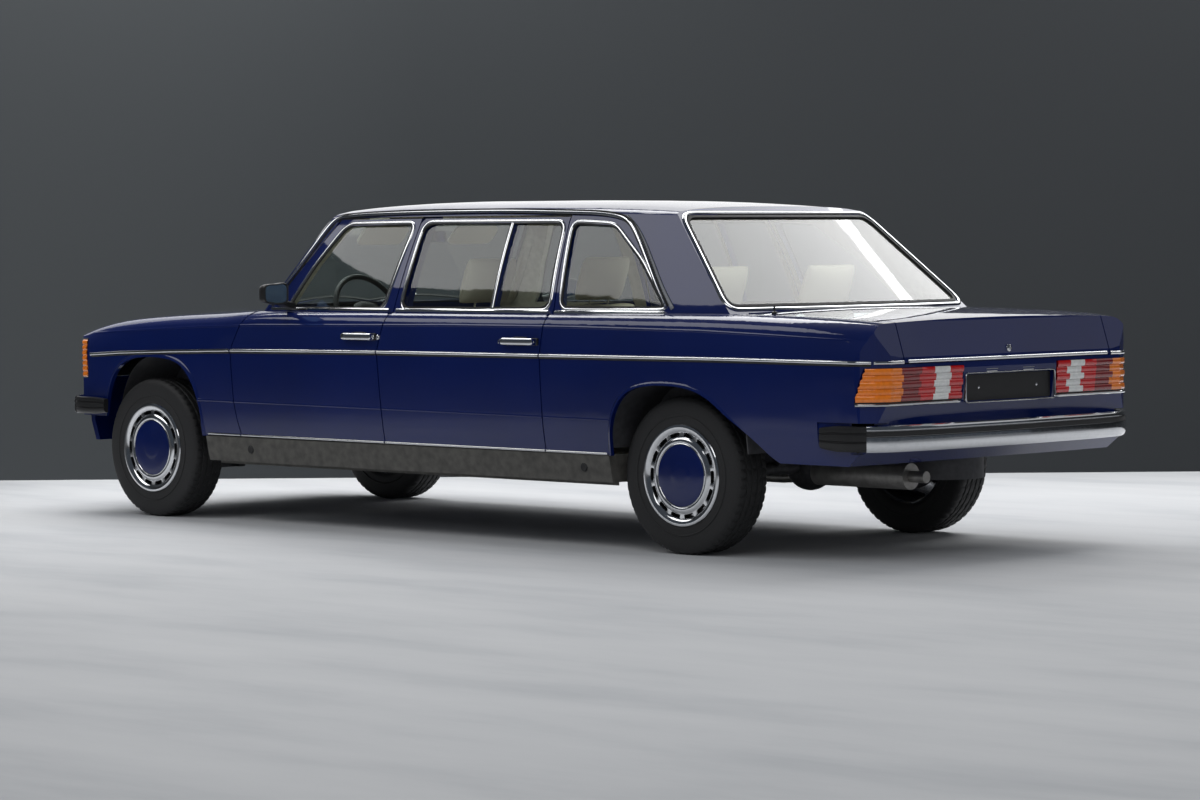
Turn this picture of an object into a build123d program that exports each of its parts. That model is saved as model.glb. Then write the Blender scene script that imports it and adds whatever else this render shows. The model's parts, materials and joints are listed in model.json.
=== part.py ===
"""Long-wheelbase four-door sedan: unit body, four doors, bonnet, boot lid, glass, lamps, bumpers, cabin,
running gear and four wheels.

Frame: +X forward, +Y left, +Z up, origin on the ground under the middle of the car. Millimetres.
Each piece is written to parts/NODE.step.
"""

from build123d import *
import os
from math import cos, radians, sin, sqrt, tan

# ---------------------------------------------------------------- driving dimensions
overall_length = 5355.0
overall_width = 1786.0
wheelbase = 3425.0
front_overhang = 785.0
track_front = 1488.0
track_rear = 1446.0

tyre_radius = 328.0
tyre_width = 192.0
rim_radius = 208.0
hub_cap_radius = 118.0

strip_proud = 8.0  # side strips stand proud of the panels by this much
side_half = overall_width / 2 - strip_proud
skin = 14.0  # outer flange of the doors
door_depth = 78.0  # whole lower door
frame_depth = 34.0  # window frames and pillars
roof_depth = 26.0
wing_depth = 12.0  # wings and quarter panels
lid_depth = 26.0  # bonnet and boot lid
gap = 6.0  # shut lines of moving panels
seam = 0.3  # between pieces of the fixed body
door_rebate = 20.0  # the flange laps the pillars by this much
rebate_gap = 12.0
glass_depth = 5.0

belt_z = 985.0
sill_strip_z = 400.0
sill_bottom_z = 285.0
floor_z = 330.0
floor_depth = 26.0

front_axle_x = overall_length / 2 - front_overhang
rear_axle_x = front_axle_x - wheelbase
hub_z = tyre_radius
front_arch_x = front_axle_x - 22
front_arch_r = 362.0
front_arch_z = 398.0
rear_arch_r = 332.0
rear_arch_z = 367.0
rear_arch_x = rear_axle_x + 12

a_gap_x = 1251.0
b_gap_x = 245.0
c_gap_x = -780.0
bonnet_front_x = 2452.0
bonnet_rear_x = 1262.0
bonnet_half = 690.0
boot_front_x = -1886.0
boot_half = 672.0
boot_lip_z = 806.0
firewall_x = 1215.0
plate_face_x = -2592.0
plate_half, plate_low_z, plate_top_z = 290.0, 640.0, 752.0

# Stations of the lower body: x, crease height, crown half-width, crown height, centre height, side inset, shoulder
BODY_STATIONS = [
    (-2660, 890, 706, 948, 962, 34, 38),
    (-2500, 901, 722, 972, 984, 14, 26),
    (-2200, 915, 742, 988, 1002, 8, 16),
    (-1850, 925, 772, 995, 1010, 4, 12),
    (-1500, 931, 796, 994, 1002, 1, 12),
    (-900, 935, 806, 992, 998, 0, 12),
    (200, 933, 806, 991, 996, 0, 12),
    (1050, 924, 800, 986, 994, 0, 12),
    (1350, 914, 762, 974, 992, 2, 12),
    (1893, 893, 746, 950, 974, 16, 12),
    (2200, 877, 736, 923, 950, 36, 14),
    (2400, 858, 722, 884, 912, 58, 16),
    (2530, 836, 704, 846, 868, 82, 18),
]
# Height and inset of the side below the crease
SIDE_PROFILE = [(sill_bottom_z, 47), (sill_strip_z, 24), (563, 6), (700, 1), (810, 0)]

# Stations of the greenhouse: x, half-width at the belt, half-width and height at the gutter, roof height
CABIN_STATIONS = [
    (-2000, 760, 585, 1372, 1392),
    (-1350, 796, 612, 1402, 1440),
    (-900, 818, 640, 1414, 1466),
    (-300, 826, 653, 1421, 1478),
    (300, 826, 655, 1421, 1480),
    (760, 818, 646, 1404, 1464),
    (1300, 786, 600, 1340, 1392),
]

STATION_STEP = 260.0
ROOF_POWER = 2.3

os.makedirs("parts", exist_ok=True)


def filled(rows, step=STATION_STEP):
    """Adds stations between the given ones along a monotone cubic, so that lofts don't bulge."""
    xs = [row[0] for row in rows]
    columns = []
    for column in zip(*rows):
        secant = [(column[i + 1] - column[i]) / (xs[i + 1] - xs[i]) for i in range(len(xs) - 1)]
        slope = [secant[0]]
        for before, after in zip(secant, secant[1:]):
            slope.append(0.0 if before * after <= 0 else 2 * before * after / (before + after))
        columns.append((column, [*slope, secant[-1]]))
    result = []
    for i in range(len(xs) - 1):
        span = xs[i + 1] - xs[i]
        count = max(1, round(span / step))
        for k in range(count):
            t = k / count
            near, far = (1 + 2 * t) * (1 - t) ** 2, t * t * (3 - 2 * t)
            start, end = t * (1 - t) ** 2 * span, t * t * (t - 1) * span
            result.append([near * c[i] + far * c[i + 1] + start * m[i] + end * m[i + 1] for c, m in columns])
    return [*result, list(rows[-1])]


def save(name, *solids):
    """Writes one node from solids that don't touch each other."""
    found = [s for shape in solids for s in shape.solids()]
    export_step(found[0] if len(found) == 1 else Compound(children=found), f"parts/{name}.step")


def both(shape):
    """A left-hand piece and its mirror image."""
    return [shape, shape.mirror(Plane.XZ)]


def block(x0, x1, y0, y1, z0, z1):
    return Pos((x0 + x1) / 2, (y0 + y1) / 2, (z0 + z1) / 2) * Box(abs(x1 - x0), abs(y1 - y0), abs(z1 - z0))


def side_prism(points, y0, y1, radius=0):
    """Outline in the XZ plane, run through y0 to y1."""
    outline = make_face(Polyline(*[(x, z) for x, z in points], close=True))
    if radius:
        outline = fillet(outline.vertices(), radius)
    # Plane.XZ looks along -Y
    return Pos(0, y0, 0) * extrude(Plane.XZ * outline, -(y1 - y0))


def plan_prism(points, z0, z1, radius=0):
    outline = make_face(Polyline(*points, close=True))
    if radius:
        outline = fillet(outline.vertices(), radius)
    return Pos(0, 0, z0) * extrude(outline, z1 - z0)


def rod_y(x, z, r, y0, y1):
    return Pos(x, (y0 + y1) / 2, z) * Rot(90, 0, 0) * Cylinder(r, abs(y1 - y0))


def rod(p, q, r):
    """Round bar between two points."""
    axis = Vector(*q) - Vector(*p)
    return Plane(origin=p, z_dir=axis) * Cylinder(r, axis.length, align=(Align.CENTER, Align.CENTER, Align.MIN))


# ---------------------------------------------------------------- master forms


def body_section(station, inset, top_inset, low):
    """Closed cross-section of the lower body at one station."""
    x, crease_z, crown_y, crown_z, centre_z, side_inset, shoulder_in = station
    half = side_half - side_inset
    side = [(half - drop - inset, z) for z, drop in SIDE_PROFILE if z >= low]
    if side[0][1] > low:
        side.insert(0, (side[0][0], low))
    crease = (half - shoulder_in - inset, crease_z - top_inset * 0.5)
    crown = (crown_y - inset, crown_z - top_inset)
    lean = (half - shoulder_in - 14 - inset, crown_z - top_inset)
    centre = (0, centre_z - top_inset)

    def at(y, z):
        return Vector(x, y, z)

    def flank(sign):
        low_side = Spline(*[at(sign * y, z) for y, z in [*side, crease]])
        shoulder = Bezier(at(sign * crease[0], crease[1]), at(sign * lean[0], lean[1]), at(sign * crown[0], crown[1]))
        return low_side, shoulder

    left_side, left_shoulder = flank(1)
    right_side, right_shoulder = flank(-1)
    top = Spline(at(crown[0], crown[1]), at(*centre), at(-crown[0], crown[1]))
    floor = Line(at(-side[0][0], low), at(side[0][0], low))
    return Wire([floor, left_side, left_shoulder, top, right_shoulder, right_side])


def body_form(inset=0.0, top_inset=0.0, low=sill_bottom_z):
    """Lower body from sill to bonnet, waist and boot, before its ends are trimmed."""
    return Solid.make_loft([body_section(s, inset, top_inset, low) for s in filled(BODY_STATIONS)])


def cabin_section(station, inset, top_inset):
    x, belt_y, gutter_y, gutter_z, roof_z = station
    low = belt_z - 60
    slope = (belt_y - gutter_y) / (gutter_z - belt_z)
    low_y = belt_y + 60 * slope * 0.8 - inset
    mid = ((belt_y + gutter_y) / 2 + 12 - inset, (belt_z + gutter_z) / 2)
    gutter = (gutter_y - inset, gutter_z - top_inset)
    def at(y, z):
        return Vector(x, y, z)

    sides = [Spline(at(s * low_y, low), at(s * mid[0], mid[1]), at(s * gutter[0], gutter[1])) for s in (1, -1)]
    roof_points = []
    for k in range(-8, 9):
        turn = sin(radians(90 * k / 8))
        rise = (1 - abs(turn) ** ROOF_POWER) ** (1 / ROOF_POWER) if abs(turn) < 1 else 0
        roof_points.append(at(-gutter[0] * turn, gutter[1] + (roof_z - gutter_z) * rise))
    roof = Spline(*roof_points)
    floor = Line(at(-low_y, low), at(low_y, low))
    return Wire([floor, sides[0], roof, sides[1]])


def screen_block(inset=0.0):
    """Block whose front and rear faces are the curved windscreen and rear window."""
    outlines = []
    for z, front, back in ((900, 1284, -1968), (1520, 781, -1258)):
        front, back = front - inset * 1.25, back + inset * 1.4
        bow_front, bow_back, half = 180, 147, 1000
        outlines.append(
            Wire(
                [
                    ThreePointArc((front - bow_front, -half, z), (front, 0, z), (front - bow_front, half, z)),
                    Line((front - bow_front, half, z), (back + bow_back, half, z)),
                    ThreePointArc((back + bow_back, half, z), (back, 0, z), (back + bow_back, -half, z)),
                    Line((back + bow_back, -half, z), (front - bow_front, -half, z)),
                ]
            )
        )
    return Solid.make_loft(outlines, ruled=True)


def cabin_form(inset=0.0, top_inset=0.0, screen_inset=0.0):
    sides = Solid.make_loft([cabin_section(s, inset, top_inset) for s in filled(CABIN_STATIONS)])
    return sides & screen_block(screen_inset)


# Outline of the lower body seen from above and from the side
PLAN = [
    (-2612, -600), (-2615, -200), (-2615, 200), (-2612, 600), (-2604, 753), (-2580, 813), (-2536, 860), (-2460, 900),
    (2250, 900), (2400, 850), (2488, 770), (2508, 640), (2516, 300),
    (2516, -300), (2508, -640), (2488, -770), (2400, -850), (2250, -900),
    (-2460, -900), (-2536, -860), (-2580, -813), (-2604, -753),
]
PROFILE = [
    (-2548, 1100), (-2563, 968), (-2607, 830), (-2613, 780), (-2600, 656), (-2580, 560), (-2540, 460), (-2465, 400),
    (-2180, 376),
    (-1900, 200), (1700, 200), (2180, 330), (2440, 345), (2476, 440), (2490, 640), (2452, 850), (2400, 1100),
]

trim_tool = plan_prism(PLAN, 100, 1200) & side_prism(PROFILE, -1000, 1000)
lower = body_form() & trim_tool
lower_inner = body_form(wing_depth, lid_depth, sill_bottom_z)
cabin = cabin_form()
cabin_inner = cabin_form(frame_depth, roof_depth, roof_depth)


# ---------------------------------------------------------------- body shell
def moved(shape, x=0.0, y=0.0, z=0.0):
    return Pos(x, y, z) * shape


inner_trim = moved(trim_tool, -lid_depth) & moved(trim_tool, lid_depth)
hollow = lower_inner & inner_trim
shell = lower - hollow
cabin_shell = cabin - cabin_inner

# Edge of each wheel arch, from its front foot over the wheel to its rear foot
FRONT_ARCH = [
    (1484, 450), (1530, 634), (1614, 724), (1740, 757), (1853, 762), (1965, 755), (2086, 718), (2154, 660),
    (2196, 590), (2222, 520), (2246, 450), (2262, 396),
]
REAR_ARCH = [
    (-1186, 445), (-1210, 571), (-1275, 655), (-1385, 694), (-1510, 701), (-1640, 689), (-1745, 650),
    (-1835, 588), (-1925, 529), (-2005, 474), (-2085, 417), (-2209, 382),
]
# Corners that close each opening below the edge, from the rear foot round to the front foot
FRONT_ARCH_FEET = [(2262, 200), (1464, 200)]
REAR_ARCH_FEET = [(-2700, 396), (-2700, 200), (-1176, 200)]
A_LINE = [(1199, sill_strip_z + gap), (1221, 481), (1237, 566), (1251, 803), (1194, 918), (1148, 980)]
A_POST_LINE = [(1078, 990), (1040, 1016), (748, 1370)]
B_LINE = [(217, sill_strip_z + gap), (225, 562), (245, 814), (221, 908), (193, 1002), (172, 1380)]
C_LINE = [(-795, sill_strip_z + gap), (-789, 538), (-780, 813), (-790, 913), (-801, 1010), (-750, 1380)]
door_top_z = 1404.0


def slid(points, dx):
    return [(x + dx, z) for x, z in points]


def door_outline(front, rear, margin):
    """Closed outline of one door from its two shut lines, drawn in by a margin."""
    up = [(x - margin, z + (margin - gap / 2 if i == 0 else 0)) for i, (x, z) in enumerate(front)]
    down = [(x + margin, z + (margin - gap / 2 if i == 0 else 0)) for i, (x, z) in enumerate(rear)]
    top = [(front[-1][0] - margin - 20, door_top_z - margin), (rear[-1][0] + margin, door_top_z - margin)]
    return [*up, *top, *reversed(down)]


FRONT_WINDOW = [(918, 1001), (266, 1004), (209, 1377), (668, 1373), (806, 1192)]
REAR_WINDOW_A = [(148, 1006), (-417, 1009), (-403, 1378), (137, 1379)]
REAR_WINDOW_B = [(-440, 1009), (-767, 1012), (-722, 1376), (-424, 1378)]
QUARTER_WINDOW = [(-840, 1016), (-1417, 1018), (-1228, 1207), (-1014, 1363), (-777, 1375)]

door_inner_y = 803.0
door_flange_y = 848.0

# ---------------------------------------------------------------- hinges
pin_radius = 2.5
pin_play = 0.4
lug_half, eye_radius = 5.0, 5.2
notch_half = lug_half + 5.4
door_axis_y = side_half - 8
front_axis_x, rear_axis_x = 1210.0, 214.0
door_pin_z = (686.0, 784.0)
bonnet_axis = (bonnet_rear_x + gap + 5, 988.0)
boot_axis = (boot_front_x - gap - 5, 1003.0)
lid_pin_y = (-200.0, 200.0)


def door_notch(x, z):
    room = block(x - 8, x + 40, door_inner_y - 8, side_half - 1.5, z - notch_half, z + notch_half)
    pin = Pos(x, door_axis_y, z) * Cylinder(pin_radius, 2 * notch_half + 8)
    return room, pin


def door_lug(x, z):
    arm = block(x - 3, x + 3, post_y1 - 2, door_axis_y, z - lug_half, z + lug_half)
    eye = Pos(x, door_axis_y, z) * Cylinder(eye_radius, 2 * lug_half)
    return arm + eye - Pos(x, door_axis_y, z) * Cylinder(pin_radius + pin_play, 40)


def hung(panel, axis_x):
    """Door with its hinge pins fitted in their notches."""
    for z in door_pin_z:
        room, pin = door_notch(axis_x, z)
        panel = panel - room + pin
    return panel


def lid_notch(panel, axis, forward):
    """Lid with notches and pins at its hinge edge; forward is the way into the lid."""
    x, z = axis
    for y in lid_pin_y:
        room = block(x + forward * 9, x - forward * 30, y - notch_half, y + notch_half, z - 60, z + 5.5)
        panel = panel - room + rod_y(x, z, pin_radius, y - notch_half - 4, y + notch_half + 4)
    return panel


def lid_lug(axis, back_x, low_z):
    x, z = axis
    lugs = []
    for y in lid_pin_y:
        y0, y1 = y - lug_half, y + lug_half
        arm = block(x - 3, x + 3, y0, y1, low_z, z) + block(x - 3, back_x, y0, y1, low_z, low_z + 12)
        lug = arm + rod_y(x, z, eye_radius, y0, y1) - rod_y(x, z, pin_radius + pin_play, y0 - 9, y1 + 9)
        lugs.append(lug)
    return lugs


post_y0, post_y1 = 735.0, door_inner_y - 6


def door(front, rear, windows):
    outer = side_prism(door_outline(front, rear, gap / 2), door_flange_y, 960)
    core = side_prism(door_outline(front, rear, gap / 2 + rebate_gap), door_inner_y, door_flange_y)
    panel = lower & (outer + core)
    frame = cabin_shell & side_prism(door_outline(front, rear, gap / 2), 560, 960)
    frame = frame & block(-3000, 3000, 560, 960, belt_z - 45, 1500)
    # The foot of the windscreen stays on the scuttle
    frame = frame - block(1030, 1400, 500, 738, 900, 1012)
    whole = panel + frame
    for outline in windows:
        whole = whole - side_prism(outline, 500, 1000)
    return whole


def pull_handle(x0, x1, z):
    """Pull handle that stands off the door on two feet."""
    grip = block(x0, x1, side_half + 12, side_half + 24, z - 13, z + 13)
    feet = [block(x, x + 26, side_half - 14, side_half + 13, z - 10, z + 10) for x in (x0, x1 - 26)]
    return grip + feet[0] + feet[1]


def pane(outline, inset=glass_depth * 2):
    """Side glass that lies just inside the outer face."""
    skin_form = moved(cabin, 0, -inset) - moved(cabin, 0, -inset - glass_depth)
    hole = make_face(Polyline(*outline, close=True))
    hole = offset(hole, -seam)
    return skin_form & Pos(0, 560, 0) * extrude(Plane.XZ * hole, -400)


front_line = [*A_LINE, *A_POST_LINE]
front_door = hung(door(front_line, B_LINE, [FRONT_WINDOW]), front_axis_x) + pull_handle(254, 460, 879)
rear_door = hung(door(B_LINE, C_LINE, [REAR_WINDOW_A, REAR_WINDOW_B]), rear_axis_x) + pull_handle(-767, -560, 871)
front_pane = pane(FRONT_WINDOW)
rear_panes = [pane(REAR_WINDOW_A), pane(REAR_WINDOW_B)]
quarter_pane = pane(QUARTER_WINDOW)


def sided(name, *solids):
    """Saves the left piece and its mirror image as two nodes."""
    save(f"{name}_left", *solids)
    save(f"{name}_right", *[s.mirror(Plane.XZ) for s in solids])


def mirror_unit():
    housing = fillet(Box(66, 150, 102).edges(), 18)
    foot = block(884, 928, 780, 885, 1012, 1046)
    return (Pos(884, 938, 1068) * housing + foot) - moved(cabin, 0, seam)


# ---------------------------------------------------------------- outer panels
BUMPER_OUTER = {
    1: [(2199, 888), (2410, 880), (2518, 826), (2600, 692), (2654, 420), (overall_length / 2, 0)],
    -1: [(2345, 893), (2500, 890), (2572, 851), (2632, 740), (2664, 500), (overall_length / 2, 0)],
}
BUMPER_INNER = {
    1: [(2199, 866), (2401, 857), (2495, 802), (2566, 674), (2614, 400), (2632, 0)],
    -1: [(2345, 872), (2490, 866), (2552, 826), (2606, 722), (2632, 480), (2640, 0)],
}


def ring_plan(sign, half):
    left = [(sign * x, y) for x, y in half]
    return [*left, *[(x, -y) for x, y in reversed(left[:-1])]]


def bumper(sign, z0, z1):
    """Wrap-round bar, outlined from above."""
    outer = ring_plan(sign, BUMPER_OUTER[sign])
    inner = ring_plan(sign, BUMPER_INNER[sign])
    return plan_prism([*outer, *reversed(inner)], z0, z1)


def bumper_room(sign, z0, z1):
    """Space behind and round the bar that the body stays out of."""
    inner = [(x - sign * 8, y - 8 if y > 0 else y + 8 if y < 0 else y) for x, y in ring_plan(sign, BUMPER_INNER[sign])]
    far = sign * 3000
    start = inner[0][0] - sign * 14
    whole = plan_prism([(start, 1000), (far, 1000), (far, -1000), (start, -1000)], z0 - 9, z1 + 9)
    return whole - plan_prism([(start, inner[0][1]), *inner, (start, inner[-1][1])], 430, 590)


front_bumper_z, rear_bumper_z = (478.0, 562.0), (459.0, 565.0)
room_front, room_rear = bumper_room(1, *front_bumper_z), bumper_room(-1, *rear_bumper_z)



def arch_prism(edge, feet, spread=0.0):
    """Wheel opening run through the side of the body, with a spread beyond its curved edge."""
    curve = Spline(*[(x, z) for x, z in edge])
    corners = Polyline(edge[-1], *feet, edge[0])
    outline = make_face([curve, corners])
    if spread:
        outline = offset(outline, spread)
    return Pos(0, 400, 0) * extrude(Plane.XZ * outline, -600)


SIDE_ROWS = filled(BODY_STATIONS, 60)


def side_y(x, z):
    """Half-width of the outer surface below the crease."""
    half = side_half - min(SIDE_ROWS, key=lambda row: abs(row[0] - x))[5]
    for (z0, d0), (z1, d1) in zip(SIDE_PROFILE, SIDE_PROFILE[1:]):
        if z <= z1:
            return half - d0 - (d1 - d0) * (z - z0) / (z1 - z0)
    return half


lip_radius, lip_proud = 26.0, 8.0
LIP_FADE = (0.7, 0.4, 0.1)  # the flare dies away over its last points


def arch_lip(edge, feet):
    """Rounded flare that follows the edge of a wheel arch up from the foot of the panel."""
    (x0, z0), (x1, z1) = edge[0], feet[-1]
    foot = (x0 + (x1 - x0) * (z0 - sill_strip_z) / (z0 - z1), sill_strip_z)
    route = [foot, *edge]
    proud = [lip_proud] * (len(route) - len(LIP_FADE)) + [lip_proud * part for part in LIP_FADE]
    path = Spline(*[(x, side_y(x, z) - lip_radius + rise, z) for (x, z), rise in zip(route, proud)])
    bead = sweep(Plane(origin=path @ 0, z_dir=path % 0) * Circle(lip_radius), path, is_frenet=True)
    return (bead - lower_inner) & block(-3000, 3000, 0, 1000, sill_strip_z, 1000)


arch_front = arch_prism(FRONT_ARCH, FRONT_ARCH_FEET)
arch_rear = arch_prism(REAR_ARCH, REAR_ARCH_FEET)
LAMP_TOP, LAMP_LOW = 842.0, 650.0
TAIL_TOP, TAIL_LOW = 790.0, 655.0
TAIL_FRONT_LOW, TAIL_FRONT_TOP = -2512.0, -2546.0

lid_box = block(bonnet_rear_x + gap, 2600, -bonnet_half, bonnet_half, 846, 1100)
bonnet = lid_notch(shell & lid_box, bonnet_axis, 1)
boot_plan = block(-2800, boot_front_x - gap, -boot_half, boot_half, boot_lip_z + 3, 1100)
boot_lid = lid_notch(shell & boot_plan, boot_axis, -1)

corner_lamp_box = block(2385, 2600, 742, 1000, LAMP_LOW, LAMP_TOP)
grille_half, grille_low = 296.0, 590.0
grille_lean = 0.12
grille_nose_x = 2516.0  # front of the shell at its foot
shell_side, shell_foot, shell_head = 34.0, 30.0, 24.0
bar_count, bar_thick = 9, 6.0
headlamp_box = block(2300, 2600, grille_half + 4, 738, LAMP_LOW, LAMP_TOP)
grille_box = block(2300, 2600, -grille_half, grille_half, grille_low, LAMP_TOP)
front_wall = (lower - moved(lower, -30, 0)) & block(2300, 2600, -1000, 1000, 300, 900)


def wing():
    rear_edge = side_prism([*slid(A_LINE, gap / 2), (1148 + gap / 2, 1200), (2600, 1200), (2600, sill_strip_z)], 690, 1000)
    piece = shell & rear_edge & block(1100, 2600, bonnet_half + gap, 1000, sill_strip_z, 1100)
    piece = piece + arch_lip(FRONT_ARCH, FRONT_ARCH_FEET) - arch_front
    piece = piece - block(2385 - seam, 2600, 300, 1000, LAMP_LOW - seam, LAMP_TOP + seam)
    piece = piece - block(2150, 2600, 600, 1000, 300, front_bumper_z[0] - 9)
    return piece - moved(cabin, 0, seam) - block(2290, 2600, 600, 741, 300, LAMP_TOP + seam) - room_front


def tail_room(margin):
    """Room of one tail lamp, whose front edge leans back towards its top."""
    low, top = TAIL_LOW - margin, TAIL_TOP + margin
    front_low, front_top = TAIL_FRONT_LOW + margin, TAIL_FRONT_TOP + margin
    return side_prism([(-2800, low), (front_low, low), (front_top, top), (-2800, top)], 305 - margin, 1000)


def quarter():
    edge = side_prism([*slid(C_LINE, -gap / 2), (-750, 1500), (-2800, 1500), (-2800, sill_strip_z)], 600, 1000)
    piece = shell & edge & block(-2800, 0, boot_half + gap, 1000, sill_strip_z, 1100)
    piece = piece + arch_lip(REAR_ARCH[:-3], REAR_ARCH_FEET) - arch_rear - block(-1880, 0, 600, 780, 900, 1100)
    piece = piece - tail_room(seam)
    return piece - moved(cabin, 0, seam) - room_rear


def sill():
    run = lower & block(-1165, 1464, post_y0, 1000, sill_bottom_z, sill_strip_z - seam)
    return run


save("bonnet", bonnet)
save("boot_lid", boot_lid)
save("front_wings", *both(wing()))
save("quarter_panels", *both(quarter()))
save("sills", *both(sill()))
sided("front_door", front_door)
sided("rear_door", rear_door)
sided("front_door_glass", front_pane)
sided("rear_door_glass", *rear_panes)
sided("door_mirror", mirror_unit())

screen_corner_r = 42.0


def screen_hole(half_low, z_low, half_top, z_top, margin=0.0):
    """Opening for a screen, run along the car."""
    corners = [(-half_low, z_low), (half_low, z_low), (half_top, z_top), (-half_top, z_top)]
    outline = make_face(Polyline(*corners, close=True))
    outline = fillet(outline.vertices(), screen_corner_r)
    return extrude(Plane.YZ * (offset(outline, -margin) if margin else outline), 900)


front_hole_at = dict(half_low=742, z_low=1004, half_top=632, z_top=1398)
rear_hole_at = dict(half_low=752, z_low=1022, half_top=588, z_top=1401)
windscreen_hole = moved(screen_hole(**front_hole_at), 600)
rear_hole = moved(screen_hole(**rear_hole_at), -2050)
screens = screen_block()
front_screen = (moved(screens, -8) - moved(screens, -14)) & moved(screen_hole(**front_hole_at, margin=seam), 600)
rear_screen = (moved(screens, 8) - moved(screens, 14)) & moved(screen_hole(**rear_hole_at, margin=seam), -2050)
save("fixed_glass", front_screen, rear_screen, *both(quarter_pane))

roof_zone = block(-1400, 900, -900, 900, door_top_z + gap, 1600)
roof_panel = (cabin_shell & roof_zone) - windscreen_hole - rear_hole
save("roof_panel", roof_panel)

pillar_top = door_top_z + gap - seam
deck_half = boot_half + gap - seam
cowl_half = bonnet_half + gap - seam
front_post = cabin_shell & block(1000 - 300, 1300, 400, 1000, 960, pillar_top) & side_prism(
    [*slid(A_LINE[-2:] + A_POST_LINE, gap / 2), (728 + gap / 2, door_top_z + 40), (1500, 1500), (1500, 918)], 300, 1000
)
rear_post = cabin_shell & block(-2100, 0, 400, 1000, 935, pillar_top) & side_prism(
    [*slid(C_LINE[-3:], -gap / 2), (-750 - gap / 2, 1500), (-2200, 1500), (-2200, 913)], 300, 1000
)
save(
    "roof_pillars",
    *both(front_post - windscreen_hole - block(900, 1400, 0, cowl_half + seam, 900, front_hole_at["z_low"] + seam)),
    *both(
        rear_post
        - rear_hole
        - side_prism(QUARTER_WINDOW, 300, 1000)
        - block(-2100, -1600, 0, deck_half + seam, 900, rear_hole_at["z_low"] + seam)
    ),
)

# ---------------------------------------------------------------- inner structure
hinge_post = block(1170, 1256, post_y0, post_y1, sill_strip_z, 929)
centre_post = block(160, 262, post_y0, post_y1, sill_strip_z, 955)
centre_upper = (moved(cabin_inner, 0, -6) - moved(cabin_inner, 0, -36)) & block(150, 225, 500, 900, 955, 1400)
centre_cap = moved(cabin_inner, 0, 0, -seam) & block(150, 225, 560, 612, 1370, 1500)
lock_post = block(-866, -812, post_y0, post_y1, sill_strip_z, 935 - seam)
for z in door_pin_z:
    hinge_post = hinge_post + door_lug(front_axis_x, z)
    centre_post = centre_post + door_lug(rear_axis_x, z)
save("door_pillars", *both(hinge_post), *both(centre_post + centre_upper + centre_cap), *both(lock_post))

floor = block(-1158, firewall_x, -post_y0 + seam, post_y0 - seam, floor_z - floor_depth, floor_z)
tunnel = block(-630, firewall_x, -105, 105, floor_z - 1, 450)
kick_up = side_prism([(-1150, 304), (-1150, 330), (-1158, 330), (-1352, 462), (-1352, 440), (-1160, 304)], -590, 590)
save("cabin_floor", floor + tunnel + kick_up)
boot_floor = block(-2700, -1352 - seam, -560, 560, 440, 462) & moved(lower, 30 + seam)
spare_well = Pos(-2232, 0, 374) * Cylinder(188, 132)
save("boot_floor", boot_floor + spare_well)
top_plate = lower - moved(lower, 0, 0, -lid_depth)
bulkhead = block(-1372, -1352, -600, 600, 462 + seam, 940) + block(-1884, -1352, -600, 600, 940, 958)
bulkhead = bulkhead + (moved(lower, 0, 0, -lid_depth - seam) & block(-1884, -1870, -600, 600, 940, 1100))
boot_lugs = lid_lug(boot_axis, -1880, 942)
save("rear_bulkhead", bulkhead + boot_lugs[0] + boot_lugs[1])
rear_deck = (top_plate & block(-1886, -1500, -deck_half, deck_half, 950, 1100)) - cabin_inner
rear_deck = rear_deck + (cabin_shell & block(-2100, -1600, -deck_half, deck_half, 986, rear_hole_at["z_low"]))
save("rear_deck", rear_deck)
firewall = block(firewall_x + 2, firewall_x + 22, -post_y0 + seam, post_y0 - seam, 304, 950.5)
firewall = firewall + block(firewall_x + 2, firewall_x + 22, -690, 690, 950, 972)
cowl = (top_plate & block(1040, bonnet_rear_x, -cowl_half, cowl_half, 930, 1100)) - cabin_inner
cowl = cowl + (cabin_shell & block(1000, 1300, -cowl_half, cowl_half, 975, front_hole_at["z_low"]))
cowl_side = (top_plate & block(1040, 1146, cowl_half - 20, post_y1, 955, 1100)) - moved(cabin, 0, seam)
cowl = cowl + cowl_side + cowl_side.mirror(Plane.XZ)
bonnet_lugs = lid_lug(bonnet_axis, firewall_x + 12, 925)
save("scuttle", firewall + cowl + bonnet_lugs[0] + bonnet_lugs[1])
house_room = moved(lower_inner, 0, -seam)
house_swell, house_plate = 1.02, 0.015  # shares of the distance from the hub


def wheelhouse(edge, axle_x, low_z, inner_y, wall):
    """Liner that follows a wheel arch inwards to the wall beside the wheel; wall is that wall's thickness."""

    def cover(swell):
        route = [(axle_x + (x - axle_x) * swell, hub_z + (z - hub_z) * swell) for x, z in edge]
        corners = Polyline(route[-1], (route[-1][0], low_z), (route[0][0], low_z), route[0])
        return Plane.XZ * make_face([Spline(*route), corners])

    over, under = cover(house_swell + house_plate), cover(house_swell)
    liner = Pos(0, inner_y, 0) * extrude(over, -300) - Pos(0, inner_y + wall, 0) * extrude(under, -300)
    return liner & house_room


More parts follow.
